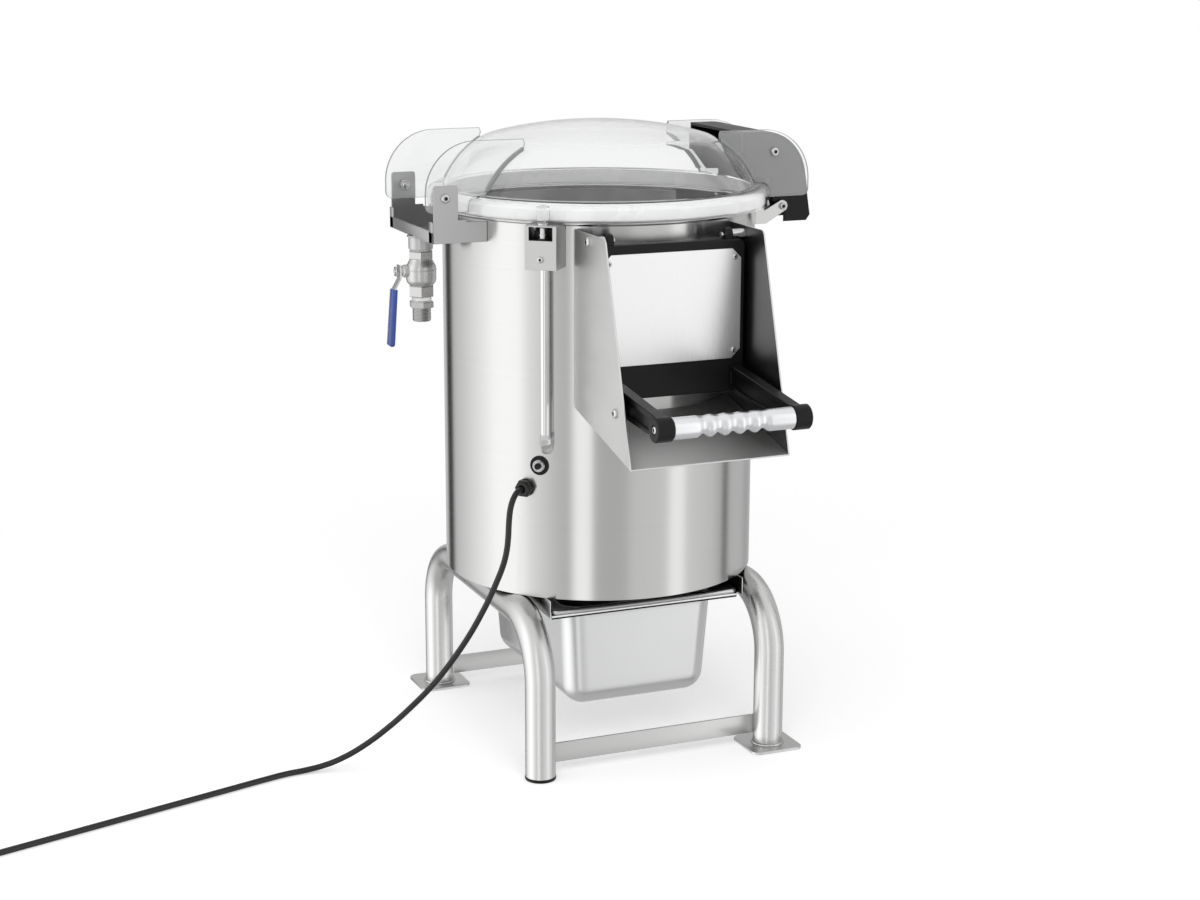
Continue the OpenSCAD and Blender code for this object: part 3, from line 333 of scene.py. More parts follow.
bar_steel = metal("flat bar steel", grey(0.53, 0.01), 0.3, 0.4, (30, 900, 1600), 0.00001)
pan_steel = metal("pressed pan steel", grey(0.64, -0.01), 0.3, 0.4, (1100, 1100, 1100), 0.000006)
rim_steel = metal("polished rim steel", grey(0.8), 0.2, 0.3, (30, 900, 900), 0.000006)
bolt_steel = metal("bright bolt steel", grey(0.56), 0.14, 0.24, (700, 700, 700), 0.00001)
# Painted shade: the floor of each hexagon socket is dark in place of the shadow in the recess.
socket_painted_shade = metal("screw socket painted shade", grey(0.05), 0.4, 0.55, (900, 900, 900), 0.00001)
conduit_steel = metal("bright conduit", grey(0.6), 0.08, 0.14, (1200, 1200, 25), 0.000004)
turned_steel = metal("turned steel", grey(0.5), 0.2, 0.3, (60, 60, 3000), 0.00001)
valve_nickel = metal(
    "nickel plated valve", (0.47, 0.467, 0.46), 0.2, 0.32, (300, 300, 300), 0.00003, 0.2, 30
)
face_plate_metal = metal(
    "satin face plate", grey(0.8), 0.26, 0.32, (2500, 2500, 25), 0.000006, 0.2, 4, 0.01
)
grip_metal = metal("satin grip", (0.76, 0.765, 0.78), 0.22, 0.32, (3200, 50, 50), 0.00001)
disc_metal = moulded(
    "gritted disc", grey(0.16), grey(0.3), 0.5, 0.7, 520, 0.0004, 0.6, Metallic=0.6
)
grit_lining = moulded("gritted lining", grey(0.17), grey(0.28), 0.5, 0.7, 650, 0.0004, 0.7)
black_moulding = moulded(
    "black moulding", grey(0.003), grey(0.006), 0.3, 0.42, 1500, 0.00003, Specular_IOR_Level=0.2
)
black_gland = moulded(
    "black gland nylon", grey(0.008), grey(0.014), 0.3, 0.42, 1200, 0.00003, Specular_IOR_Level=0.3
)
soft_black = moulded(
    "soft black rubber", grey(0.01), grey(0.018), 0.5, 0.62, 800, 0.00005, Specular_IOR_Level=0.3
)
lead_rubber = moulded(
    "lead sheath rubber", grey(0.006), grey(0.012), 0.3, 0.4, 700, 0.00004, Specular_IOR_Level=0.4
)
blue_vinyl = moulded(
    "blue dipped vinyl", (0.012, 0.045, 0.27), (0.02, 0.065, 0.34), 0.16, 0.26, 260, 0.0001,
    Coat_Weight=0.3,
)
tape_white = moulded("thread tape", grey(0.78), grey(0.9), 0.45, 0.6, 900, 0.0002)
iron_grey = moulded("machined grey iron", grey(0.1), grey(0.16), 0.45, 0.6, 700, 0.0001, Metallic=0.7)
motor_paint = moulded("grey motor paint", (0.09, 0.1, 0.11), (0.12, 0.13, 0.14), 0.4, 0.5, 900, 0.00006)
milky_silicone = moulded(
    "milky silicone", grey(0.96), grey(0.99), 0.2, 0.3, 600, 0.00004,
    Subsurface_Weight=0.5, Subsurface_Scale=0.02, Subsurface_Radius=(1, 1, 1), IOR=1.45,
    Specular_IOR_Level=1, Coat_Weight=1, Coat_IOR=1.9, Coat_Roughness=0.25,
)
sleeve_plastic = moulded(
    "clear shrink sleeve", grey(0.85), grey(0.93), 0.12, 0.26, 240, 0.0003, 0.5,
    Transmission_Weight=0.75, IOR=1.4,
)


def send_out(tree, shader, output="Material Output"):
    tree.links.new(shader.outputs["Shader"], tree.nodes[output].inputs["Surface"])


def clear_material(name, colour, low, high, clearness):
    """Clear sheet that lets light through: faint flow lines stay in the roughness."""
    look = dict(Base_Color=(*colour, 1), Transmission_Weight=clearness, IOR=1.49)
    material, tree, shader, grain = grained(name, look, node_tree=SKIN_GRAIN, Scale=40, Low=low, High=high)
    relief(tree, shader, grain["Mottle"], 0.05, 0.0001)
    in_shadow = put(tree, "LightPath").outputs["Is Shadow Ray"]
    open_way = put(tree, "BsdfTransparent").outputs["BSDF"]
    send_out(tree, put(tree, "MixShader", in_shadow, shader.outputs["BSDF"], open_way))
    return material


clear_cover = clear_material("clear cover", (0.985, 0.99, 0.988), 0.0, 0.01, 1)
clear_ear = clear_material("clear ear sheet", (0.95, 0.955, 0.955), 0.0, 0.02, 0.86)
sawn_edge = clear_material("sawn clear edge", (0.36, 0.37, 0.37), 0.3, 0.5, 0.4)


# ---- shaping tools ----

def arc(centre, radius, a0, a1, steps):
    return [
        (centre[0] + radius * cos(radians(a0 + (a1 - a0) * i / steps)),
         centre[1] + radius * sin(radians(a0 + (a1 - a0) * i / steps)))
        for i in range(steps + 1)
    ]


def round_rect(width, height, corner, steps):
    w, h = width / 2 - corner, height / 2 - corner
    spots = [((w, h), 0), ((-w, h), 90), ((-w, -h), 180), ((w, -h), 270)]
    return [p for centre, a in spots for p in arc(centre, corner, a, a + 90, steps)]


def hexagon(across_flats, turn=0):
    return arc((0, 0), across_flats / 2 / cos(pi / 6), turn, turn + 300, 5)


def circle(radius, steps, centre=(0, 0)):
    return arc(centre, radius, 0, 360 - 360 / steps, steps - 1)


def hole(spot, radius=BOLT_HOLE):
    """The one round hole of a plate."""
    return [circle(radius, 32, spot)]


def at(x, y, z):
    return Matrix.Translation((x, y, z))


def along(direction, spot=(0, 0, 0)):
    """Places a shape made along Z so that it runs along direction from spot."""
    return Matrix.Translation(spot) @ direction.to_track_quat("Z", "Y").to_matrix().to_4x4()


def on_drum(angle, z):
    """Local X points straight out of the drum at this angle and height."""
    return at(0, 0, z) @ Matrix.Rotation(radians(angle), 4, "Z")


def in_xz(y, thickness):
    """A flat plate drawn in X and Z, with its thickness along Y from y."""
    return Matrix(((1, 0, 0, 0), (0, 0, -1, y + thickness), (0, 1, 0, 0), (0, 0, 0, 1)))


def in_yz(x):
    """A flat plate drawn in Y and Z, with its thickness along X from x."""
    return Matrix(((0, 0, 1, x), (1, 0, 0, 0), (0, 1, 0, 0), (0, 0, 0, 1)))


AS_DRAWN = Matrix.Identity(4)
MIRROR_X = Matrix.Scale(-1, 4, X)
MIRROR_Y = Matrix.Scale(-1, 4, Y)
LEFT_RIGHT = (MIRROR_X, AS_DRAWN)
FRONT_BACK = (MIRROR_Y, AS_DRAWN)


def as_mesh(shape, name="loose"):
    """The mesh of a shape, which is used up."""
    mesh = bpy.data.meshes.new(name)
    shape.to_mesh(mesh)
    shape.free()
    return mesh


def joined(meshes):
    """One shape of several meshes, which are used up."""
    whole = bmesh.new()
    for mesh in meshes:
        whole.from_mesh(mesh)
        bpy.data.meshes.remove(mesh)
    return whole


def stroke(curve, spots, closed, swell=None):
    """Draws a line on a curve. swell scales its thickness point by point."""
    line = curve.splines.new("POLY")
    line.points.add(len(spots) - 1)
    for i, spot in enumerate(spots):
        line.points[i].co = (*spot, 1)
        line.points[i].radius = swell[i] if swell else 1
    line.use_cyclic_u = closed


def from_curve(curve):
    """The shape of a drawn curve, which is used up."""
    holder = bpy.data.objects.new("loose", curve)
    shape = joined([bpy.data.meshes.new_from_object(holder)])
    bpy.data.objects.remove(holder)
    bpy.data.curves.remove(curve)
    return shape


def plate(outline, thickness, chamfer, holes=()):
    """A flat plate from Z 0 to its thickness, with its edges broken by a chamfer."""
    curve = bpy.data.curves.new("loose", "CURVE")
    curve.dimensions = "2D"
    curve.fill_mode = "BOTH"
    curve.extrude = thickness / 2 - chamfer
    curve.bevel_depth = chamfer
    curve.bevel_resolution = 0
    curve.offset = -chamfer
    for loop in (outline, *holes):
        stroke(curve, [(x, y, 0) for x, y in loop], True)
    shape = from_curve(curve)
    shape.transform(at(0, 0, thickness / 2))
    return shape


def pipe(path, radius, sides, closed=False, swell=None):
    """A round bar or tube along a path."""
    curve = bpy.data.curves.new("loose", "CURVE")
    curve.dimensions = "3D"
    curve.bevel_depth = radius
    curve.bevel_resolution = sides
    curve.use_fill_caps = not closed
    stroke(curve, path, closed, swell)
    return from_curve(curve)


def turned(profile, steps, angle=360, start=0):
    """A profile of (radius, height) points spun round Z."""
    shape = bmesh.new()
    line = [shape.verts.new((r, 0, h)) for r, h in profile]
    edges = [shape.edges.new(pair) for pair in zip(line, line[1:])]
    bmesh.ops.spin(
        shape, geom=line + edges, cent=(0, 0, 0), axis=(0, 0, 1), dvec=(0, 0, 0),
        angle=radians(angle), steps=steps, use_merge=angle == 360, use_duplicate=False,
    )
    shape.transform(Matrix.Rotation(radians(start), 4, "Z"))
    return shape


def block(low, high, edge, segments=2):
    """A box between two corners with its edges rounded."""
    shape = bmesh.new()
    low, high = Vector(low), Vector(high)
    middle = Matrix.Translation((low + high) / 2)
    bmesh.ops.create_cube(shape, size=1, matrix=middle @ Matrix.Diagonal((*(high - low), 1)))
    bmesh.ops.bevel(
        shape, geom=list(shape.edges), offset=edge, segments=segments, profile=0.5,
        affect="EDGES", material=-1, clamp_overlap=True,
    )
    return shape


bench = []


def add(shape, place=None):
    """Lays a closed loose shape on the bench, with its seams merged and its faces outwards."""
    if place is not None:
        shape.transform(place)
    bmesh.ops.remove_doubles(shape, verts=shape.verts, dist=0.0005)
    bmesh.ops.recalc_face_normals(shape, faces=shape.faces)
    bench.append(as_mesh(shape))


def finish_piece(name, material, node=None, body="machine", crease=32, more=()):
    """Joins what lies on the bench into a piece in metres, with its materials and body, and hides the CAD
    node that it replaces.
    """
    whole = joined(bench)
    bench.clear()
    bmesh.ops.scale(whole, vec=(MM, MM, MM), verts=whole.verts)
    mesh = as_mesh(whole, name)
    mesh.shade_smooth()
    mesh.set_sharp_from_angle(angle=radians(crease))
    for each in (material, *more):
        mesh.materials.append(each)
    piece = into_scene(name, mesh)
    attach(piece, body)
    if node:
        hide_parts(node)


def thread(radius, low, high, pitch=1.8, depth=0.9):
    """The outline of a screw thread as close rings, from low to high."""
    rings = max(1, int((high - low) / pitch))
    step = (high - low) / rings
    line = []
    for i in range(rings):
        z = low + i * step
        line += [(radius - depth, z), (radius - depth * 0.15, z + step * 0.4), (radius, z + step * 0.55)]
    return line + [(radius - depth, high)]


def button_screw(place, head_d, head_h, socket):
    """A round-headed socket screw: domed head, hexagon socket and its floor, which takes the dark second
    material as painted shade in the recess.
    """
    r, s = head_d / 2, socket / 2 / cos(pi / 6) + 0.25
    dome = [(r * 0.96, 0), (r, head_h * 0.12), (r, head_h * 0.3)]
    dome += [
        (s + (r - s) * cos(radians(a)), head_h * (0.3 + 0.7 * sin(radians(a))))
        for a in (20, 40, 60, 80)
    ]
    dome += [(s + 0.15, head_h), (s, head_h - 0.2), (s, head_h * 0.25), (r * 0.96, 0)]
    add(turned(dome, 40), place)
    add(plate(circle(s + 0.05, 40), head_h * 0.72, 0.05, [hexagon(socket)]), place @ at(0, 0, head_h * 0.24))
    floor, edge = head_h * 0.3, 0.05
    disc = [(0, 0), (s - edge, 0), (s, edge), (s, floor - edge), (s - edge, floor), (0, floor)]
    add(paint(turned(disc, 24), 1), place)


def weld_ring(x, y, z, radius, bead):
    """A rippled weld bead round a tube."""
    path = [(*spot, z) for spot in circle(radius, 72, (x, y))]
    swell = [1 + 0.16 * sin(i * 2.1) + 0.08 * sin(i * 0.7) for i in range(len(path))]
    add(pipe(path, bead, 2, True, swell))


def weld_line(start, end, bead, steps=24):
    """A rippled weld bead along a straight joint."""
    a, b = Vector(start), Vector(end)
    path = [a.lerp(b, i / steps) for i in range(steps + 1)]
    add(pipe(path, bead, 2, False, [1 + 0.18 * sin(i * 2.3) for i in range(steps + 1)]))


def hollow(profile, steps=48, angle=360, start=0):
    """A ring or tube: the profile goes all round its section."""
    return turned(profile + profile[:1], steps, angle, start)


def ribs(count, radius, height, size, edge, place):
    """A ring of small blocks that stand round the axis of place."""
    wide, deep, tall = size
    for x, y in circle(radius, count):
        rib = block((-wide / 2, -deep / 2, 0), (wide / 2, deep / 2, tall), edge, 1)
        add(rib, place @ at(x, y, height))


def side_plates(outline, thickness, outer, chamfer, spot, radius=BOLT_HOLE):
    """Two plates drawn in X and Z, with their outer faces this far from the middle and a hole at spot."""
    for y in (-outer, outer - thickness):
        add(plate(outline, thickness, chamfer, hole(spot, radius)), in_xz(y, thickness))


BOLT_HEAD = (13, 4, 5)


def bolt_pair(flips, way, spot, head_at, head, *bodies):
    """Two mirrored bolts along way, each of turned bodies with their steps and a button head at head_at."""
    for flip in flips:
        place = flip @ along(way, spot)
        for profile, steps in bodies:
            add(turned(profile, steps), place)
        button_screw(place @ at(0, 0, head_at), *head)


def finish_screws(name, node=None, body="machine"):
    finish_piece(name, bolt_steel, node, body, more=[socket_painted_shade])


def paint(shape, finish, where=lambda face: True):
    """Gives the faces that where picks another of the piece's materials, by its number."""
    for face in shape.faces:
        face.material_index = finish if where(face) else 0
    return shape


# ---- stand ----

def make_stand():
    centre_z, flat = RAIL_Z - BEND_R, LEG_Y - BEND_R
    for x, side, ends in ((-LEG_X, "left", (5, PLATE_T)), (LEG_X, "right", (PLATE_T, 5))):
        path = [(-LEG_Y, ends[0]), (-LEG_Y, centre_z - 2)]
        path += arc((-flat, centre_z), BEND_R, 180, 90, 22) + arc((flat, centre_z), BEND_R, 90, 0, 22)
        path += [(LEG_Y, centre_z - 2), (LEG_Y, ends[1])]
        add(pipe([(x, y, z) for y, z in path], TUBE_R, 10))
        finish_piece("stand_tube_" + side, tube_steel, "leg_frame_" + side)

    for y in (-BAR_Y, BAR_Y):
        low, high = (10 - LEG_X, y - BAR_T / 2, BAR_LOW), (LEG_X - 10, y + BAR_T / 2, BAR_TOP)
        add(block(low, high, 0.7))
    finish_piece("stand_cross_bars", bar_steel, "cross_bars")

    for side in (-1, 1):
        x, y = -side * LEG_X, side * LEG_Y
        add(plate(round_rect(78, 78, 12, 8), PLATE_T, 0.5), at(x, y, 0))
        weld_ring(x, y, PLATE_T + 0.6, TUBE_R + 0.8, 1.9)
    face = BAR_T / 2 + 0.2
    for x, y, side in product((17.4 - LEG_X, LEG_X - 17.4), (-BAR_Y, BAR_Y), (-face, face)):
        weld_line((x, y + side, BAR_LOW + 1), (x, y + side, BAR_TOP - 1), 1.3)
    finish_piece("welded_foot_plates", sheet_steel, "foot_plates")

    cap = [(0, 0), (19.6, 0), (21.2, 0.5), (21.7, 1.6), (21.7, 3.8), (21.3, 5)]
    cap += [(19.2, 5), (19.2, 22), (0, 22)]
    for side in (-1, 1):
        add(turned(cap, 64), at(side * LEG_X, side * LEG_Y, 0))
    finish_piece("tube_end_caps", black_moulding, "foot_caps")


# ---- drum ----

WINDOW = (540, 737)
WINDOW_A = degrees(asin(95 / DRUM_R))
INLET = (745.5, 761.5)
INLET_A = degrees(asin(30 / DRUM_R))
LINER_TOP = 763


def drum_wall(radius, inner, low, high, inlet):
    """A rolled wall with the door window and the water slot left open, as one thick shell."""
    heights = sorted({low, *WINDOW, *inlet, high})
    no_gap = (high, high)
    strips = []
    for a0, a1, steps, gap in (
        (-90 + WINDOW_A, 180 - INLET_A, 108, no_gap), (180 - INLET_A, 180 + INLET_A, 8, inlet),
        (180 + INLET_A, 270 - WINDOW_A, 30, no_gap), (270 - WINDOW_A, 270 + WINDOW_A, 28, WINDOW),
    ):
        for levels in ([z for z in heights if z <= gap[0]], [z for z in heights if z >= gap[1]]):
            if len(levels) > 1:
                strips.append(as_mesh(turned([(radius, z) for z in levels], steps, a1 - a0, a0)))
    shape = joined(strips)
    bmesh.ops.remove_doubles(shape, verts=shape.verts, dist=0.01)
    bmesh.ops.recalc_face_normals(shape, faces=shape.faces)
    first = shape.faces[:][0]
    if first.normal.dot(Vector((*first.calc_center_median().xy, 0))) < 0:
        bmesh.ops.reverse_faces(shape, faces=shape.faces)
    bmesh.ops.solidify(shape, geom=list(shape.faces), thickness=radius - inner)
    return shape


def make_drum():
    add(drum_wall(DRUM_R, INNER_R, DRUM_BASE, 766, INLET))
    finish_piece("drum_wall", drum_steel, "drum_shell")
    add(turned(arc((DRUM_R + 1.5, RIM_Z - BEAD), BEAD, 0, 360, 18), 160))
    finish_piece("drum_rim_bead", drum_steel)
    add(drum_wall(INNER_R - 0.2, LINER_R, 497, LINER_TOP, (INLET[0], LINER_TOP)))
    finish_piece("grit_liner", grit_lining, "drum_liner")

    outer, inner = LINER_R - 0.2, LINER_R - 3.2
    strip = hollow([(outer, 749), (outer, 768), (inner, 768), (inner, 749)], 20, 29, 5)
    bmesh.ops.holes_fill(strip, edges=[e for e in strip.edges if len(e.link_faces) < 2], sides=6)
    add(strip)
    finish_piece("liner_clamp_strip", black_gland)
    button_screw(on_drum(12, LINER_TOP) @ along(-X, (inner, 0, 0)), 8, 2.4, 3)
    finish_screws("liner_clamp_screw")


# ---- electrics ----

def make_breaker():
    place = on_drum(*BREAKER_AT) @ along(X)
    face = DRUM_R - 0.6
    ring = [
        (8.1, 0), (13.1, 0), (13.5, 0.5), (13.5, 2.1), (13, 2.6), (12.4, 2.6), (12.1, 2.3), (9.6, 2.3),
        (9.3, 2.6), (8.1, 2.6),
    ]
    add(hollow([(r, face + out) for r, out in ring], 64), place)
    finish_piece("breaker_bezel", black_moulding, "breaker_ring")

    low, high = DRUM_R + 1.6, DRUM_R + 6
    add(hollow([(8.4, low - 1.4)] + thread(8.2, low, high - 0.6, 1, 0.45) + [
        (7.4, high), (5.6, high), (5, high - 0.7), (4.75, high - 1.6), (4.75, low - 1.4),
    ], 56), place)
    finish_piece("breaker_collar", turned_steel)

    tip = DRUM_R + 10
    add(turned([
        (0, DRUM_R + 3.2), (4.4, DRUM_R + 3.2), (4.4, tip - 1.6), (4.1, tip - 0.7), (3.4, tip - 0.1),
        (2.4, tip), (1.9, tip - 0.3), (1, tip - 0.8), (0, tip - 1),
    ], 48), place)
    finish_piece(
        "breaker_reset_button", black_moulding, "breaker_button", body="reset_button"
    )


def make_gland():
    place = on_drum(*GLAND_AT) @ along(X)
    washer = [(8, -0.6), (12.2, -0.6), (12.5, -0.2), (12.5, 1.6), (12, 2), (8, 2)]
    add(hollow([(r, DRUM_R + out) for r, out in washer]), place)
    add(plate(hexagon(22), 9, 0.8, [circle(8, 36)]), place @ at(0, 0, DRUM_R + 2))
    nose = [(8, 9), (10.6, 10.6), (10.3, 12.6), (9.3, 14), (6, 14), (5.3, 13.2), (5.2, 4), (8, 4)]
    add(hollow([(r, DRUM_R + out) for r, out in nose], 56), place)
    ribs(12, 7.4, DRUM_R + 10.4, (1, 0.7, 3.4), 0.2, place)
    finish_piece("lead_gland", black_gland, "cable_gland")


def make_lid_switch():
    front, half, t, h = DRUM_R + 39, 22, 1.5, 59
    place = on_drum(*SWITCH_AT)
    over_plunger = place @ at(PLUNGER_R, 0, 0)
    window = [(-16.5, h - 19.9), (16.5, h - 19.9), (16.5, h - 1.9), (-16.5, h - 1.9)]
    window = [(x, z - h / 2) for x, z in window]
    add(plate(round_rect(2 * half, h, 0.8, 2), t, 0.3, [window]), place @ at(0, 0, h / 2) @ in_yz(front - t))
    back, edge = sqrt(DRUM_R ** 2 - half ** 2), front - 0.4
    side = [(back + 1, 0), (edge, 0), (edge, h), (back + 6, h), (back + 6, h - 8.5), (back + 1, h - 8.5)]
    for y in (-half, half - t):
        add(plate(side, t, 0.3), place @ in_xz(y, t))
    for back_r, a, hole_r, hole_x, z in (
        (DRUM_R + 0.4, 5.6, 6.8, CONDUIT_R, 0), (DRUM_R + 6, 5.5, 5.4, PLUNGER_R, h - t)
    ):
        outline = [(edge, -half + 0.3), (edge, half - 0.3)] + arc((0, 0), back_r, a, -a, 4)
        add(plate(outline, t, 0.3, hole((hole_x, 0), hole_r)), place @ at(0, 0, z))
    bush = [(5.5, h - 0.2), (7.5, h - 0.2), (7.5, h + 2.9), (7, h + 3.4), (5.9, h + 3.4), (5.5, h + 3)]
    add(hollow(bush, 40), over_plunger)
    finish_piece("switch_housing", sheet_steel, "switch_box")
    button_screw(place @ along(X, (front, 0, 14)), 9, 3, 3.5)
    finish_screws("switch_box_screw")

    back, step = DRUM_R + 1, 237
    add(block((back, -15, 20), (259, 15, 39), 0.8), place)
    add(block((back, -15, 38), (step, 15, 53), 0.8), place)
    add(block((step, -15, 39), (step + 7, -7, 50), 0.6), place)
    add(block((step, 7, 39), (step + 7, 15, 50), 0.6), place)
    add(hollow([(4.9, 38.5), (7.5, 38.5), (7.5, 41), (7, 41.6), (5.3, 41.6), (4.9, 41.2)], 36), over_plunger)
    add(block((DRUM_R + 33.5, -5, 30), (front - t, 5, 38), 0.5), place)
    finish_piece("lid_switch_body", black_gland, "lid_switch")

    add(turned([(0, 33), (4.5, 33), (4.5, 57.9), (3.9, 58.9), (2.6, 59.6), (0, 59.7)], 40), over_plunger)
    add(turned([(4.4, 45), (5.6, 45.2), (5.6, 47), (4.4, 47.2)], 40), over_plunger)
    finish_piece("switch_plunger", bolt_steel, "lid_plunger", body="switch_plunger")


def make_conduit():
    place = on_drum(*CONDUIT_AT)
    add(hollow([(5.75, 13), (6.75, 13), (6.75, 249), (5.75, 249)]), place @ at(CONDUIT_R, 0, 0))
    finish_piece("conduit", conduit_steel, "conduit_tube")

    bend = [(CONDUIT_R, 0, 19), (CONDUIT_R, 0, 13.4), (CONDUIT_R, 0, 8)]
    bend += [(x, 0, z) for x, z in arc((CONDUIT_R - 8, 5), 8, 0, -90, 8)] + [(DRUM_R - 5, 0, -3)]
    swell = [1.0, 1.05, 1.03] + [1 + 0.05 * cos(i * 1.4) for i in range(9)] + [1.04]
    add(pipe(bend, 7.2, 6, False, swell), place)
    finish_piece("conduit_sleeve", sleeve_plastic, "conduit_elbow")


# ---- chute and door ----

CHEEK_OUT, CHEEK_IN = 115, 113
TIP_Y, TIP_Z, SLOPE = -383, 472, 0.237
DOOR_PIN, LUG_T = (-240, 749), 10
CATCH = (-334, GRIP_Z)
PLUG_W, PLUG_H = 185, 185
FACE_T = 1.5


def make_chute():
    start = -sqrt(DRUM_R ** 2 - CHEEK_OUT ** 2)
    low = TIP_Z + (start - TIP_Y) * SLOPE
    outline = [(start, low), (TIP_Y, TIP_Z)] + arc((-290, 751), 9, 163, 90, 8) + [(start, 760)]
    holes = hole(DOOR_PIN) + hole(CATCH, PIN_HOLE)
    for x in (-CHEEK_OUT, CHEEK_IN):
        cheek = plate(outline, 2, 0.35, holes)
        # The inner face of each cheek takes the dark second material: painted shade inside the chute.
        add(paint(cheek, 1, lambda face: face.normal.z * x < -0.9 * abs(x)), in_yz(x))
    edge = arc((0, 0), DRUM_R, -60, -120, 20)
    wide = CHEEK_OUT - 0.3
    slide = plate([(wide, TIP_Y), (wide, start)] + edge + [(-wide, start), (-wide, TIP_Y)], 2, 0.35)
    tilt = Matrix(((1, 0, 0, 0), (0, 1, 0, 0), (0, SLOPE, 1, TIP_Z - TIP_Y * SLOPE), (0, 0, 0, 1)))
    add(paint(slide, 2, lambda face: face.normal.z > 0.9), tilt)
    for x in (-CHEEK_OUT - 0.2, CHEEK_OUT + 0.2):
        weld_line((x, start - 0.3, low + 4), (x, start - 0.3, 757), 0.7, 120)
    finish_piece("discharge_chute", chute_steel, "chute", more=[cheek_painted_shade, slide_steel])

    bolt_pair(
        LEFT_RIGHT, X, (0, *DOOR_PIN), CHEEK_OUT, BOLT_HEAD,
        ([(0, 78), (3.4, 78), (4, 78.6), (4, 115), (0, 115)], 40),
        ([(3.9, 92.4), (6.6, 92.4), (7, 92.8), (7, 112.6), (6.6, 113), (3.9, 113), (3.9, 92.4)], 48),
    )
    finish_screws("chute_hinge_bolts", "door_hinge_bolts")
    bolt_pair(LEFT_RIGHT, X, (0, *CATCH), CHEEK_OUT, BOLT_HEAD, ([
        (0, 103.4), (3, 103.4), (4.4, 104), (5, 105.4), (5, 113), (3, 113), (3, 115), (0, 115),
    ], 40))
    finish_screws("door_catch_studs", "door_catches")


def make_door_panel():
    panel_t, panel_h = DOOR_BACK - DOOR_FRONT, DOOR_TOP - DOOR_LOW
    panel = plate(round_rect(216, panel_h, 10, 8), panel_t, 1.6)
    add(panel, at(0, 0, DOOR_LOW + panel_h / 2) @ in_xz(DOOR_FRONT, panel_t))
    half = PLUG_W / 2
    ends = -sqrt(LINER_R ** 2 - half ** 2)
    inside = [(x, y) for x, y in arc((0, 0), LINER_R, -66, -114, 12) if abs(x) < half - 1]
    front = DOOR_BACK - 0.6
    plug = [(-half, front), (half, front), (half, ends)] + inside + [(-half, ends)]
    add(plate(plug, PLUG_H, 1.0), at(0, 0, DOOR_LOW + 12))
    for x in (-92, 82):
        lug = [(-250, DOOR_TOP - 20), (-239, DOOR_TOP - 20), (-239, DOOR_TOP - 2)]
        lug += arc(DOOR_PIN, 10, -20, 180, 16) + [(-250, DOOR_TOP - 2)]
        add(plate(lug, LUG_T, 0.9, hole(DOOR_PIN)), in_yz(x))
    finish_piece("door", black_moulding, "door_panel", body="door")

    w, h, cut = 101.5, 75, 13
    right = [(w - cut, -h), (w, cut - h), (w, h - cut), (w - cut, h)]
    left = [(-x, z) for x, z in right[::-1]]
    add(plate(right + left, FACE_T, 0.3), at(0, 0, 657) @ in_xz(DOOR_FRONT - FACE_T, FACE_T))
    finish_piece("door_face_sheet", face_plate_metal, "door_face_plate", body="door")

    for x, z in product((-92, 92), (593.5, 720.5)):
        button_screw(along(-Y, (x, DOOR_FRONT - FACE_T, z)), 8, 2, 3)
    for flip in LEFT_RIGHT:
        button_screw(flip @ along(X, (106, GRIP_Y, GRIP_Z)), 11, 3.4, 5)
    finish_screws("door_fixings", "door_screws", "door")

    opening = [(x, z + 1.5) for x, z in round_rect(185, 189, 2, 3)]
    add(plate(round_rect(199, 203, 2, 3), 2, 0.4, [opening]), at(0, 0, 637) @ in_xz(DOOR_BACK, 2))
    finish_piece("door_edge_seal", soft_black, "door_seal", body="door")


def make_door_handle():
    arm = [(-254, 573), (-254, 540), (-314, 532), (-436, 524), (-436, 552)]
    opening = [(-259, 564), (-259, 546), (-313, 538), (-420, 531), (-420, 545.5)]
    web = [(-258, 565), (-258, 545), (-313, 537), (-421, 530), (-421, 546.5)]
    boss = [(0, 86), (15.4, 86), (16.5, 87), (16.5, 107.6), (15, 109), (6.6, 109), (6.3, 108.7)]
    boss += [(6.3, 105.8), (0, 105.8)]
    for flip in LEFT_RIGHT:
        add(plate(arm, 16, 1.0, [opening]), flip @ in_yz(87))
        add(plate(web, 10, 0.2), flip @ in_yz(90))
        add(turned(boss, 64), flip @ along(X, (0, GRIP_Y, GRIP_Z)))
    finish_piece("door_handle_arms", black_moulding, "handle_arms", body="door")

    waves, width, r = 5, 21, 14.5
    grip = [(0, -85.6), (r - 1, -85.6), (r, -84.8)]
    grip += [(r, (i / 14 - waves / 2) * width) for i in range(waves * 14 + 1)]
    grip += [(r, 84.8), (r - 1, 85.6), (0, 85.6)]
    bar = turned(grip, 72)
    bar.transform(along(X, (0, GRIP_Y, GRIP_Z)))
    for vert in bar.verts:
        if abs(vert.co.x) < waves * width / 2:
            under = (1 - (vert.co.z - GRIP_Z) / r) / 2
            wave = (1 - cos(2 * pi * (vert.co.x / width + waves / 2))) / 2 * (1.3 + 3.4 * under)
            vert.co.y = GRIP_Y + (vert.co.y - GRIP_Y) * (r - wave) / r
            vert.co.z = GRIP_Z + (vert.co.z - GRIP_Z) * (r - wave) / r
    add(bar)
    finish_piece("door_grip", grip_metal, "handle_grip", body="door", crease=40)


# ---- lid ----

SKIRT_R = 244
SKIRT_BEND = 14
FLANGE_TOP = 797
DOME_R = 221.5
SIDE_R, SHOULDER_R, LID_T = 135, 62, 4
SIDE_A, SHOULDER_A, CROWN_A = 22, 55, 76
EAR_CENTRE, EAR_R = (217.5, 800.5), 71
EAR_T, EAR_GAP = EAR_OUT - EAR_IN, 0.15


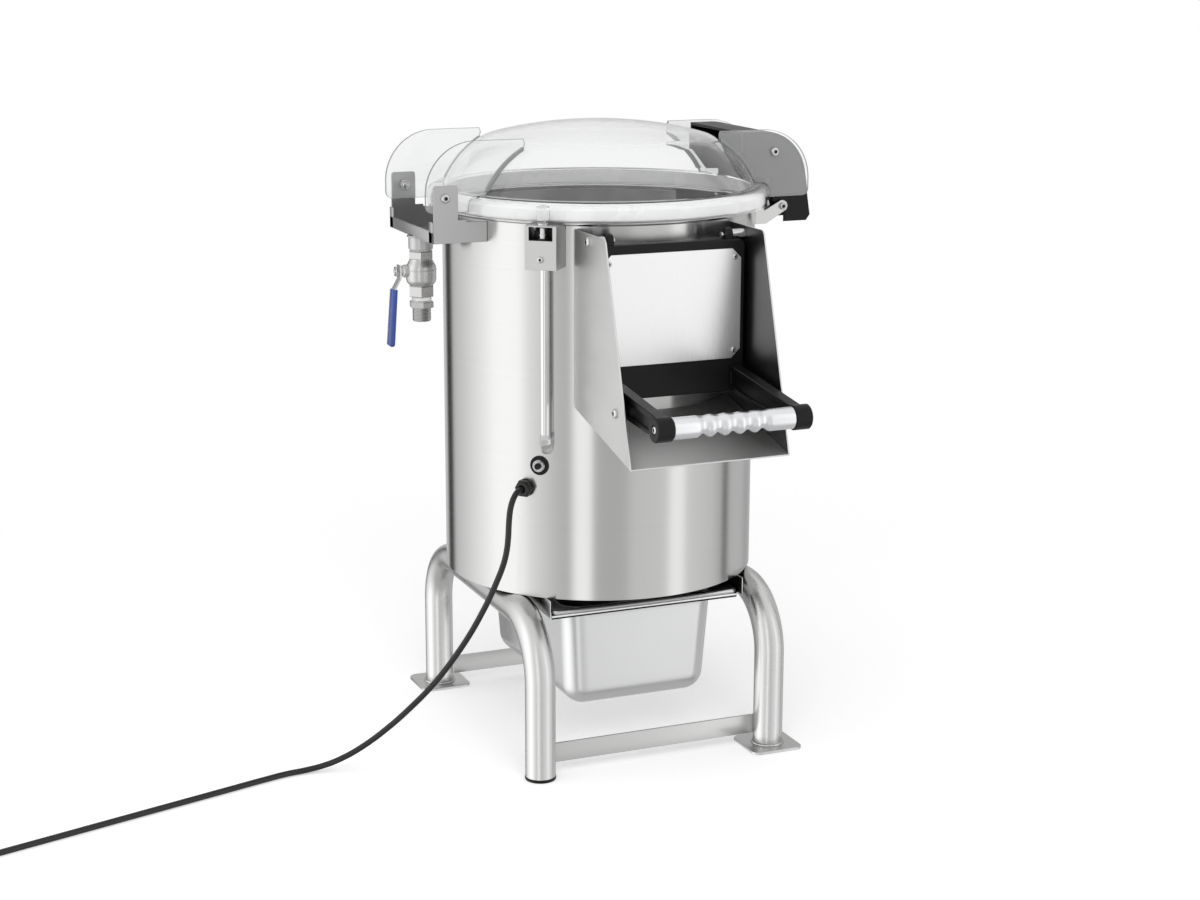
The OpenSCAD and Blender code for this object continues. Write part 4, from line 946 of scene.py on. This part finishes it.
def dome_line(t, base_z, fine=1):
    """The dome's section from its foot to the crown, t inside the outer skin."""
    c0 = (DOME_R - SIDE_R * cos(radians(SIDE_A)), FLANGE_TOP - SIDE_R * sin(radians(SIDE_A)))
    k = SIDE_R - SHOULDER_R
    c1 = (c0[0] + k * cos(radians(SHOULDER_A)), c0[1] + k * sin(radians(SHOULDER_A)))
    crown = (c1[0] + SHOULDER_R * cos(radians(CROWN_A))) / cos(radians(CROWN_A))
    c2 = (0, c1[1] - (crown - SHOULDER_R) * sin(radians(CROWN_A)))
    foot = degrees(asin((base_z - c0[1]) / (SIDE_R - t)))
    line = arc(c0, SIDE_R - t, foot, SHOULDER_A, 12 * fine)
    line += arc(c1, SHOULDER_R - t, SHOULDER_A, CROWN_A, 6 * fine)[1:]
    return line + arc(c2, crown - t, CROWN_A, 90, 12 * fine)[1:]


def skirt_line(t):
    bend = (SKIRT_R - SKIRT_BEND, FLANGE_TOP - SKIRT_BEND)
    return [(SKIRT_R - t, LID_Z)] + arc(bend, SKIRT_BEND - t, 0, 90, 10)


def lid_reach(offset):
    """Where the lid's outer skin stands in X and Z, with a small gap, this far from its middle plane."""
    skin = skirt_line(0) + dome_line(0, FLANGE_TOP, 2)
    return [(sqrt(r * r - offset * offset) + EAR_GAP, z) for r, z in skin if r > offset]


def ear_outline():
    low, reach = 776, lid_reach((EAR_IN + EAR_OUT) / 2)
    skin = [(x, z) for x, z in reach if z >= low and x > 146]
    corner = arc((EAR_CENTRE[0] + EAR_R - 10, low + 10), 10, 0, -90, 6)
    top = [(146, 865.5), (148, 871.5)] + arc(EAR_CENTRE, EAR_R, 90, 0, 24)
    return [(reach[0][0], low)] + skin + top + corner


def make_lid():
    section = skirt_line(0) + dome_line(0, FLANGE_TOP)
    section += dome_line(LID_T, FLANGE_TOP - LID_T)[::-1] + skirt_line(LID_T)[::-1]
    add(hollow([(max(r, 0.0), z) for r, z in section], 144))
    finish_piece("lid_cover", clear_cover, "lid_dome", body="lid", crease=40)

    low, top, outer, inner = 771.3, 792.8, 238, DRUM_R + 0.2
    add(hollow([
        (inner, low + 2), (DRUM_R + 2, low), (outer - 2, low), (outer, low + 2), (outer, top - 7),
        (outer - 3, top - 2.5), (outer - 8, top), (inner, top),
    ], 144))
    finish_piece("lid_ring_gasket", milky_silicone, "lid_gasket", body="lid")

    for flip, bolt in ((MIRROR_X, (-HINGE_X, HINGE_Z)), (AS_DRAWN, (PIVOT_X, PIVOT_Z))):
        for y in (-EAR_OUT, EAR_IN):
            ear = plate(ear_outline(), EAR_T, 0.35, hole(bolt))
            ear.transform(flip @ in_xz(y, EAR_T))
            ear.normal_update()
            add(paint(ear, 1, lambda face: abs(face.normal.y) <= 0.9))
    finish_piece("lid_side_ears", clear_ear, "lid_ears", body="lid", more=[sawn_edge])

    for flip, y, side in product(LEFT_RIGHT, (EAR_IN - 0.4, EAR_OUT + 0.4), FRONT_BACK):
        joint = [(x + 0.6, y, z) for x, z in lid_reach(y) if z >= 800 and x > 147]
        add(pipe(joint, 1.7, 3), flip @ side)
    finish_piece("ear_glue_beads", sawn_edge, body="lid")

    place = on_drum(SWITCH_AT[0], 0) @ at(PLUNGER_R, 0, 0)
    lug = [(0, 774.6), (7.6, 774.6), (8.6, 775), (9, 776), (9, 791), (7.6, 793), (4, 793.8), (0, 794)]
    add(turned(lug, 48), place)
    add(turned([(0, 769.3), (3.2, 769.3), (4, 770.2), (4, 774.4), (0, 774.4)], 40), place)
    finish_piece("lid_switch_lug", clear_cover, "switch_actuator", body="lid")

    bolt_pair(
        FRONT_BACK, Y, (PIVOT_X, 0, PIVOT_Z), EAR_OUT, BOLT_HEAD,
        ([(0, 79.6), (3.4, 79.6), (4, 80.2), (4, 91), (0, 91)], 40),
    )
    finish_screws("latch_pivot_screws", "latch_pivots", "lid")


def make_latch():
    outer, inner = EAR_R - 3, EAR_R - 7
    side = [
        (183, 868.5), (183, 840.4), (191, 831), (212, 803), (234, 803), (234, 768.5), (253, 768.5),
        (253, 739), (289, 739), (295, 747),
    ] + arc(EAR_CENTRE, outer, 10, 90, 20)[:-1] + [(217.5, 868.5)]
    side_plates(side, 4, 85.6, 0.9, (PIVOT_X, PIVOT_Z))
    wall = [(183, 868.5), (217.5, 868.5)] + arc(EAR_CENTRE, outer, 90, 10, 20)[1:]
    wall += [(295, 747), (289, 739), (285, 739), (291, 747)]
    wall += arc(EAR_CENTRE, inner, 10, 90, 20) + [(183, 864.5)]
    add(plate(wall, 168, 0.6), in_xz(-84, 168))
    add(pipe([(288.6, -83, 742), (288.6, 83, 742)], 2.8, 6))
    for y in (-45, 0, 45):
        rib = [(262, 742), (287, 742), (290, 748), (281, 806), (274, 806)]
        add(plate(rib, 3, 0.4), in_xz(y - 1.5, 3))
    finish_piece("lid_latch", black_moulding, "latch_handle", body="latch")


# ---- hinge, keeper, water inlet ----

def make_hinge_bracket():
    low, t, end, w = 735, 2.5, -279, 93.8
    start = -sqrt(DRUM_R ** 2 - 92.5 ** 2)
    side = [(end, low), (start, low), (start, 763), (-232, 763), (-232, 766), (end + 35, 766)]
    side += arc((end + 31, 809), 4, 0, 90, 5) + arc((end + 4, 809), 4, 90, 180, 5)
    side_plates(side, t, w, 0.35, (HINGE_X, HINGE_Z))
    edge = arc((0, 0), DRUM_R, 204, 156, 16)
    tray = [(end, -w + 0.4), (start, -w + 0.4)] + edge + [(start, w - 0.4), (end, w - 0.4)]
    add(plate(tray, t, 0.35, [circle(13.2, 48, (INLET_X, 0))]), at(0, 0, low))
    add(block((end - t, -w, low), (end + 0.2, w, low + 16), 0.7))
    tab = 12 + t
    for y in (-w, w - tab):
        add(block((end - t, y, low + 0.2), (end, y + tab, low + 29), 0.7))
    socket = [(13.2, low - 19), (16.4, low - 19), (17, low - 18.4), (17, low - 0.2), (13.2, low - 0.2)]
    add(hollow(socket, 56), at(INLET_X, 0, 0))
    weld_ring(INLET_X, 0, low - 1, 17.6, 1.4)
    finish_piece("lid_hinge_bracket", bracket_steel, "hinge_bracket")

    spot = (HINGE_X, 0, HINGE_Z)
    bolt = [(0, 76)] + thread(4, 76.4, 84, 1.25, 0.5) + [(3.95, 84.4), (3.95, w), (0, w)]
    bolt_pair(FRONT_BACK, Y, spot, w, BOLT_HEAD, (bolt, 40))
    for flip in FRONT_BACK:
        add(plate(hexagon(13), 6.5, 0.6, [circle(3.9, 30)]), flip @ along(Y, spot) @ at(0, 0, 78.5))
    finish_screws("lid_hinge_bolts", "hinge_bolts")


def make_keepers():
    start, out = sqrt(DRUM_R ** 2 - 90 ** 2), 91.2
    round_end = arc((PIN_X, PIN_Z), 8.5, -40, 130, 14)
    outline = [(start, 738), (222, 738)] + round_end + [(219, 757), (215, 763), (start, 763)]
    side_plates(outline, 3, out, 0.4, (PIN_X, PIN_Z), PIN_HOLE)
    finish_piece("latch_keeper_arms", sheet_steel, "keeper_arms")
    bolt_pair(
        FRONT_BACK, Y, (PIN_X, 0, PIN_Z), out, (10, 4.5, 5),
        ([(0, 79.6), (2.6, 79.6), (3, 80), (3, out), (0, out)], 32),
    )
    finish_screws("latch_keeper_pins", "keeper_pins")


def make_valve():
    place, ball_place = at(INLET_X, 0, 0), at(INLET_X, 0, BALL_Z)
    add(hollow([
        (10.4, 664), (15.2, 664.4), (17.6, 667), (20, 670), (21, 673.5), (21, 690), (20.4, 692.6),
        (18.4, 696.4), (16.4, 700), (15, 703), (15, 706), (10.4, 706),
    ], 64), place)
    add(plate(hexagon(32, 12), 11, 0.9, [circle(10.4, 36)]), place @ at(0, 0, 702.5))
    add(plate(hexagon(33, 12), 15, 0.9, [circle(10.6, 36)]), place @ at(0, 0, 650))
    add(hollow([(10.4, 712.5), (12, 712.6)] + thread(13.1, 713.4, 729.4) + [(10.4, 730)], 56), place)
    stem = [(4.15, 12), (9, 12), (9, 25), (8.2, 26.4), (7, 27), (4.15, 27)]
    add(hollow(stem), ball_place @ along(-X))
    add(turned([(21, 686.4), (21.35, 686.8), (21.35, 687.6), (21, 688)], 64), place)
    finish_piece("inlet_valve_body", valve_nickel, "valve_body")

    low_pipe = [(10, 615), (11.9, 615)] + thread(13.1, 615.8, 633.4) + [(11.6, 634.2), (11.6, 643.6)]
    add(hollow(low_pipe + thread(13.1, 643.8, 651) + [(10.4, 652)], 56), place)
    add(plate(hexagon(31, 20), 9, 0.9, [circle(10.4, 36)]), place @ at(0, 0, 634))
    finish_piece("inlet_nipple", valve_nickel, "valve_nipple")

    wraps = [(12.6, 644.4), (13.6, 644.6)]
    for i in range(4):
        z = 644.8 + i * 1.35
        wraps += [(13.9 + 0.25 * sin(i * 2.1), z), (13.6, z + 0.9)]
    add(hollow(wraps + [(13.5, 650), (12.6, 650)], 56), place)
    upper = [(12.6, 713.2), (13.9, 713.4), (13.6, 714.1), (13.9, 714.8), (13.5, 715.9), (12.6, 715.9)]
    add(hollow(upper, 56), place)
    finish_piece("thread_tape", tape_white)

    add(hollow([(10, -9.8)] + arc((0, 0), 14, -45.6, 45.6, 16) + [(10, 9.8)]), ball_place)
    add(turned([(0, 13.4), (4, 13.4), (4, 34), (3.4, 35), (0, 35)], 40), ball_place @ along(-X))
    finish_piece("inlet_valve_ball", turned_steel, "valve_ball", body="inlet_lever")


def make_valve_lever():
    spot = (LEVER_X, 0, BALL_Z)
    side = [(2.5, 9), (0, 9), (0, -10), (-8, -24), (-14, -100), (-11.5, -100), (-5.5, -24), (2.5, -9)]
    add(plate(side, 15, 0.4), Matrix.Translation(spot) @ in_xz(-7.5, 15))
    add(hollow([(4.05, 0), (7.5, 0), (7.5, 2.5), (4.05, 2.5)], 40), along(X, spot))
    add(plate(hexagon(13), 5, 0.6, [circle(3.9, 30)]), along(-X, spot))
    finish_piece("inlet_lever_bar", bolt_steel, "valve_lever", body="inlet_lever")

    skin = [
        (-6, -24), (-3.4, -25), (-8.8, -102), (-10.6, -104.2), (-14.4, -104.2), (-16.6, -102),
        (-10.4, -25), (-8.4, -24),
    ]
    add(plate(skin, 17, 1.6), Matrix.Translation(spot) @ in_xz(-8.5, 17))
    finish_piece(
        "inlet_lever_sleeve", blue_vinyl, "lever_sleeve", body="inlet_lever", crease=50
    )


# ---- pan and rails ----

PAN_Y, PAN_TOP, PAN_LOW = -3, 226, 71


def pan_level(shape, half_w, half_l, corner, z):
    """The edges of one round of the pan at a height."""
    ring = [shape.verts.new((x, y + PAN_Y, z)) for x, y in round_rect(2 * half_w, 2 * half_l, corner, 10)]
    return [shape.edges.new(pair) for pair in zip(ring, ring[1:] + ring[:1])]


def make_pan():
    top, low = PAN_TOP, PAN_LOW
    rows = [
        (141.4, 172.4, 8, top - 4.6), (143.2, 174.2, 9.8, top - 3.9), (144, 175, 10.6, top - 2.4),
        (143.2, 174.2, 9.8, top - 0.8), (141.6, 172.6, 8.4, top), (139.6, 170.6, 7, top - 0.4),
        (138, 169, 6.4, top - 1.2), (122, 167, 20, top - 1.2), (117.5, 165.4, 28, top - 1.9),
        (115.6, 163.6, 29.6, top - 3.6),
    ]
    for k in range(1, 9):
        f = k / 8
        rows.append((115 - 7 * f, 163 - 7 * f, 30, top - 6 - (top - 6 - low - 30) * f))
    for a in range(10, 91, 10):
        inset = 30 * (1 - cos(radians(a)))
        rows.append((108 - inset, 156 - inset, max(30 - inset, 0.6), low + 30 - 30 * sin(radians(a))))
    shape = bmesh.new()
    loops = [pan_level(shape, *row) for row in rows]
    for one, two in zip(loops, loops[1:]):
        bmesh.ops.bridge_loops(shape, edges=one + two)
    bmesh.ops.contextual_create(shape, geom=loops[-1])
    bmesh.ops.recalc_face_normals(shape, faces=shape.faces)
    base = min(shape.faces, key=lambda f: f.calc_center_median().z)
    if base.normal.z > 0:
        bmesh.ops.reverse_faces(shape, faces=shape.faces)
    bmesh.ops.solidify(shape, geom=list(shape.faces), thickness=1.2)
    add(shape)
    finish_piece("peel_pan", pan_steel, "catch_pan", body="pan", crease=45)

    add(pipe([(x, y + PAN_Y, 224) for x, y in round_rect(284, 346.4, 10, 10)], 2, 5, True))
    for y, reach in ((PAN_Y - 173, 142.5), (PAN_Y + 173, 131)):
        add(pipe([(-reach, y, 218.3), (reach, y, 218.3)], 2, 5))
        # A near-black strip behind the gap between the two rolls: painted shade.
        add(paint(block((-reach, y - 0.8, 214.5), (reach, y + 0.8, 223), 0.3), 1))
    finish_piece("pan_rolled_rim", rim_steel, body="pan", more=[painted_shade_underside])


def make_rails():
    inner, t, lip, low, high = 147, 1.5, 14, 219.5, 244
    for flip in LEFT_RIGHT:
        web = block((inner, -184, low), (inner + t, 182, high), 0.3)
        # The web's inner face and both lips take the near-black second material: painted shade inside the
        # rail.
        add(paint(web, 1, lambda face: face.normal.x < -0.9), flip)
        for z in (low, high - t):
            add(paint(block((inner - lip, -172, z), (inner + 0.2, 182, z + t), 0.3), 1), flip)
    finish_piece("pan_slide_rails", sheet_steel, "pan_rails", more=[painted_shade_underside])


# ---- cord end ----

def make_plug():
    place = along(CORD_DIR, cord_route()[-1])
    shell = [(0, -2), (4.6, -2), (5.2, 0)]
    for i in range(6):
        z, grow = 2 + i * 3.8, i * 0.32
        shell += [(5.5 + grow, z), (5.5 + grow, z + 1.6), (4.9 + grow, z + 2.2), (4.9 + grow, z + 3.2)]
    shell += [
        (11, 26), (13.4, 28.4), (16, 40), (18.4, 42), (19, 44), (19, 54), (18.4, 56), (16.6, 56),
        (16.2, 54.8), (0, 54.8),
    ]
    add(turned(shell, 64), place)
    ribs(16, 18.8, 44.6, (1.4, 1.6, 9), 0.4, place)
    finish_piece("lead_plug", soft_black, "mains_plug")

    across = place.to_3x3() @ Y
    if abs(across.z) > 0.5:
        across = place.to_3x3() @ X
    for side in (-9.5, 9.5):
        pin = [(0, 54), (2.4, 54), (2.4, 72.6), (1.9, 74.2), (0.9, 75), (0, 75)]
        add(turned(pin, 32), Matrix.Translation(across * side) @ place)
    finish_piece("lead_plug_pins", bolt_steel)


def make_coil_ties():
    """Each tie goes round the three loops of the coil, as a flat band of close wires."""
    for turns in (0.5, 0.0):
        spots = [coil_point(turns + n) for n in range(LOOPS)]
        outward = spots[0] - LOOP_CENTRE
        outward.z = 0
        outward.normalize()
        flat = [((s - LOOP_CENTRE).dot(outward), s.z) for s in spots]
        mid = [sum(p[i] for p in flat) / LOOPS for i in (0, 1)]
        ring = []
        for k in range(48):
            c, s = cos(2 * pi * k / 48), sin(2 * pi * k / 48)
            reach = max((p[0] - mid[0]) * c + (p[1] - mid[1]) * s for p in flat) + CORD_D / 2 + 0.7
            ring.append((mid[0] + c * reach, max(mid[1] + s * reach, 0.7)))
        rows = [LOOP_CENTRE + outward * u + Z * (v - LOOP_CENTRE.z) for u, v in ring]
        shift = Vector((-outward.y, outward.x, 0))
        for k in range(-3, 4):
            add(pipe([p + shift * k * 0.9 for p in rows], 0.6, 1, True))
    finish_piece("coil_ties", soft_black)


# ---- carried-over parts and the cord ----

CARRIED = {
    # The base plate takes the near-black steel: painted shade under the drum.
    "base_plate": painted_shade_underside, "door_frame": sheet_steel, "chamber_floor": sheet_steel,
    "drain_spout": sheet_steel, "peeling_disc": disc_metal, "disc_nut": turned_steel,
    "drive_shaft": turned_steel, "bearing_housing": iron_grey, "bearings": turned_steel,
    "shaft_pulley": iron_grey, "drive_belt": soft_black, "motor": motor_paint,
    "motor_bracket": motor_paint, "motor_shaft": turned_steel, "motor_pulley": iron_grey,
    "breaker_body": turned_steel,
}


def dress_carried_parts():
    for node, material in CARRIED.items():
        mesh = frame["nodes"][node].data
        mesh.materials.clear()
        mesh.materials.append(material)


def clear_drum_reflections():
    """The valve and the lead stand so close to the drum that their images would muddy its finish."""
    for piece in bpy.context.scene.objects:
        if piece.name.startswith(("inlet_", "mains_lead", "thread_tape")):
            piece.visible_glossy = False


def dress_cord():
    mains_lead.data.materials.append(lead_rubber)
    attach(mains_lead, "machine")
    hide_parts("mains_cord", "mains_coil")


for make in (
    make_stand, make_drum, make_breaker, make_gland, make_lid_switch, make_conduit, make_chute,
    make_door_panel, make_door_handle, make_lid, make_latch, make_hinge_bracket, make_keepers,
    make_valve, make_valve_lever, make_pan, make_rails, make_plug, make_coil_ties,
):
    make()
dress_carried_parts()
dress_cord()
clear_drum_reflections()


# ---- studio ----

FILL = 0.62
FLOOR_LIFT = 0.32
WHITE = (1, 1, 1, 1)


def seen_by_camera(tree):
    """1 for what the camera sees, also through clear parts."""
    rays = put(tree, "LightPath").outputs
    seen = put(tree, "Math", rays["Is Camera Ray"], rays["Is Transmission Ray"], operation="MAXIMUM")
    return seen.outputs[0]


def make_floor():
    """A round pale floor that fades into the white backdrop."""
    shape = bmesh.new()
    bmesh.ops.create_circle(shape, cap_ends=True, segments=96, radius=9)
    floor = into_scene("studio_floor", as_mesh(shape, "studio_floor"))
    material, tree, shader = plain_material(
        "pale floor", Base_Color=(0.9, 0.9, 0.9, 1), Roughness=0.9, Specular_IOR_Level=0
    )
    lift = put(tree, "Math", seen_by_camera(tree), FLOOR_LIFT, operation="MULTIPLY").outputs[0]
    glow = put(tree, "Emission", Strength=lift).outputs["Emission"]
    near = put(tree, "AddShader", shader.outputs["BSDF"], glow).outputs["Shader"]
    far = put(tree, "Emission").outputs["Emission"]
    spot = put(tree, "TexCoord").outputs["Object"]
    reach = put(tree, "VectorMath", spot, operation="LENGTH").outputs["Value"]
    fade = put(tree, "MapRange", Value=reach, From_Min=0.7, From_Max=1.5).outputs["Result"]
    send_out(tree, put(tree, "MixShader", fade, near, far))
    floor.visible_glossy = False
    floor.data.materials.append(material)


# How bright the studio looks in the metal, by angle round the machine: 0 is at the camera, and positive
# angles are to its right.
TENT = [
    (-180, 0.7), (-155, 0.72), (-151, 0.02), (-140, 0.02), (-136, 0.82), (-120, 1.05), (-92, 1.6),
    (-82, 1.88), (-60, 1.88), (-52, 1.4), (-30, 0.92), (-21, 0.76), (-16, 1.75), (-6, 1.75), (-2, 0.76),
    (20, 0.78), (26, 1.02), (52, 1.06), (57, 1.65), (66, 1.65), (70, 1.12), (94, 0.98), (102, 0.84),
    (106, 0.8), (108, 0.2), (113, 0.2), (116, 0.84), (136, 0.76), (150, 0.5), (180, 0.66),
]
TENT_TURN = 112.8


def make_world():
    """White to the eye and through clear parts, a banded tent in reflections, and an even fill elsewhere."""
    world = bpy.data.worlds.new("studio")
    bpy.context.scene.world = world
    world.use_nodes = True
    world.cycles.sampling_method = "NONE"
    tree = world.node_tree
    backdrop = tree.nodes["Background"]
    backdrop.inputs["Color"].default_value = WHITE
    backdrop.inputs["Strength"].default_value = 1
    way = put(tree, "TexCoord").outputs["Generated"]
    turn = put(tree, "Mapping", way, Rotation=(0, 0, radians(TENT_TURN))).outputs["Vector"]
    ramp = put(tree, "ValToRGB", put(tree, "TexGradient", turn, gradient_type="RADIAL").outputs["Fac"])
    stops = ramp.color_ramp.elements
    while len(stops) < len(TENT):
        stops.new(0.5)
    for stop, (angle, level) in zip(stops, TENT):
        stop.position = angle / 360 + 0.5
        stop.color = (level / 2, level / 2, level / 2, 1)
    colour = ramp.outputs["Color"]
    height = put(tree, "SeparateXYZ", way).outputs["Z"]
    for low, high, shade in ((0.5, 0.85, 0.5), (-0.45, -0.8, 0.3)):
        steep = put(tree, "MapRange", Value=height, From_Min=low, From_Max=high).outputs["Result"]
        even = put(tree, "Mix", data_type="RGBA", Factor=steep, A=colour, B=(shade, shade, shade, 1))
        colour = even.outputs["Result"]
    tent = put(tree, "Background", colour, 2).outputs["Background"]
    fill = put(tree, "Background", WHITE, FILL).outputs["Background"]
    glossy = put(tree, "LightPath").outputs["Is Glossy Ray"]
    lit = put(tree, "MixShader", glossy, fill, tent).outputs["Shader"]
    white = backdrop.outputs["Background"]
    send_out(tree, put(tree, "MixShader", seen_by_camera(tree), lit, white), "World Output")


FACING = Vector((-0.3875, -0.9219, 0))
SIDEWAYS = Vector((0.9219, -0.3875, 0))


def around(angle, distance, height):
    """A spot round the object: 0 is at the camera, and positive angles are to its right."""
    return (FACING * cos(radians(angle)) + SIDEWAYS * sin(radians(angle))) * distance + Z * height


def softbox(name, angle, distance, height, width, tall, strength):
    """A plain rectangular softbox aimed at the machine, for shading and soft shadows."""
    lamp = bpy.data.lights.new(name, "AREA")
    lamp.shape = "RECTANGLE"
    lamp.size, lamp.size_y = width, tall
    lamp.energy = strength * width * tall * pi
    holder = into_scene(name, lamp)
    holder.matrix_world = aimed(around(angle, distance, height), Vector((0, 0, 0.4)))
    for way in ("camera", "glossy", "transmission"):
        setattr(holder, "visible_" + way, False)


def make_lights():
    softbox("left_softbox", -70, 2.6, 1.6, 1.6, 1.8, 0.5)
    softbox("top_softbox", -10, 0.9, 2.8, 2.0, 2.0, 0.7)
    softbox("front_softbox", 4, 2.6, 2.3, 2.0, 1.6, 2.8)


make_floor()
make_world()
make_lights()
bpy.context.scene.view_settings.view_transform = "Standard"
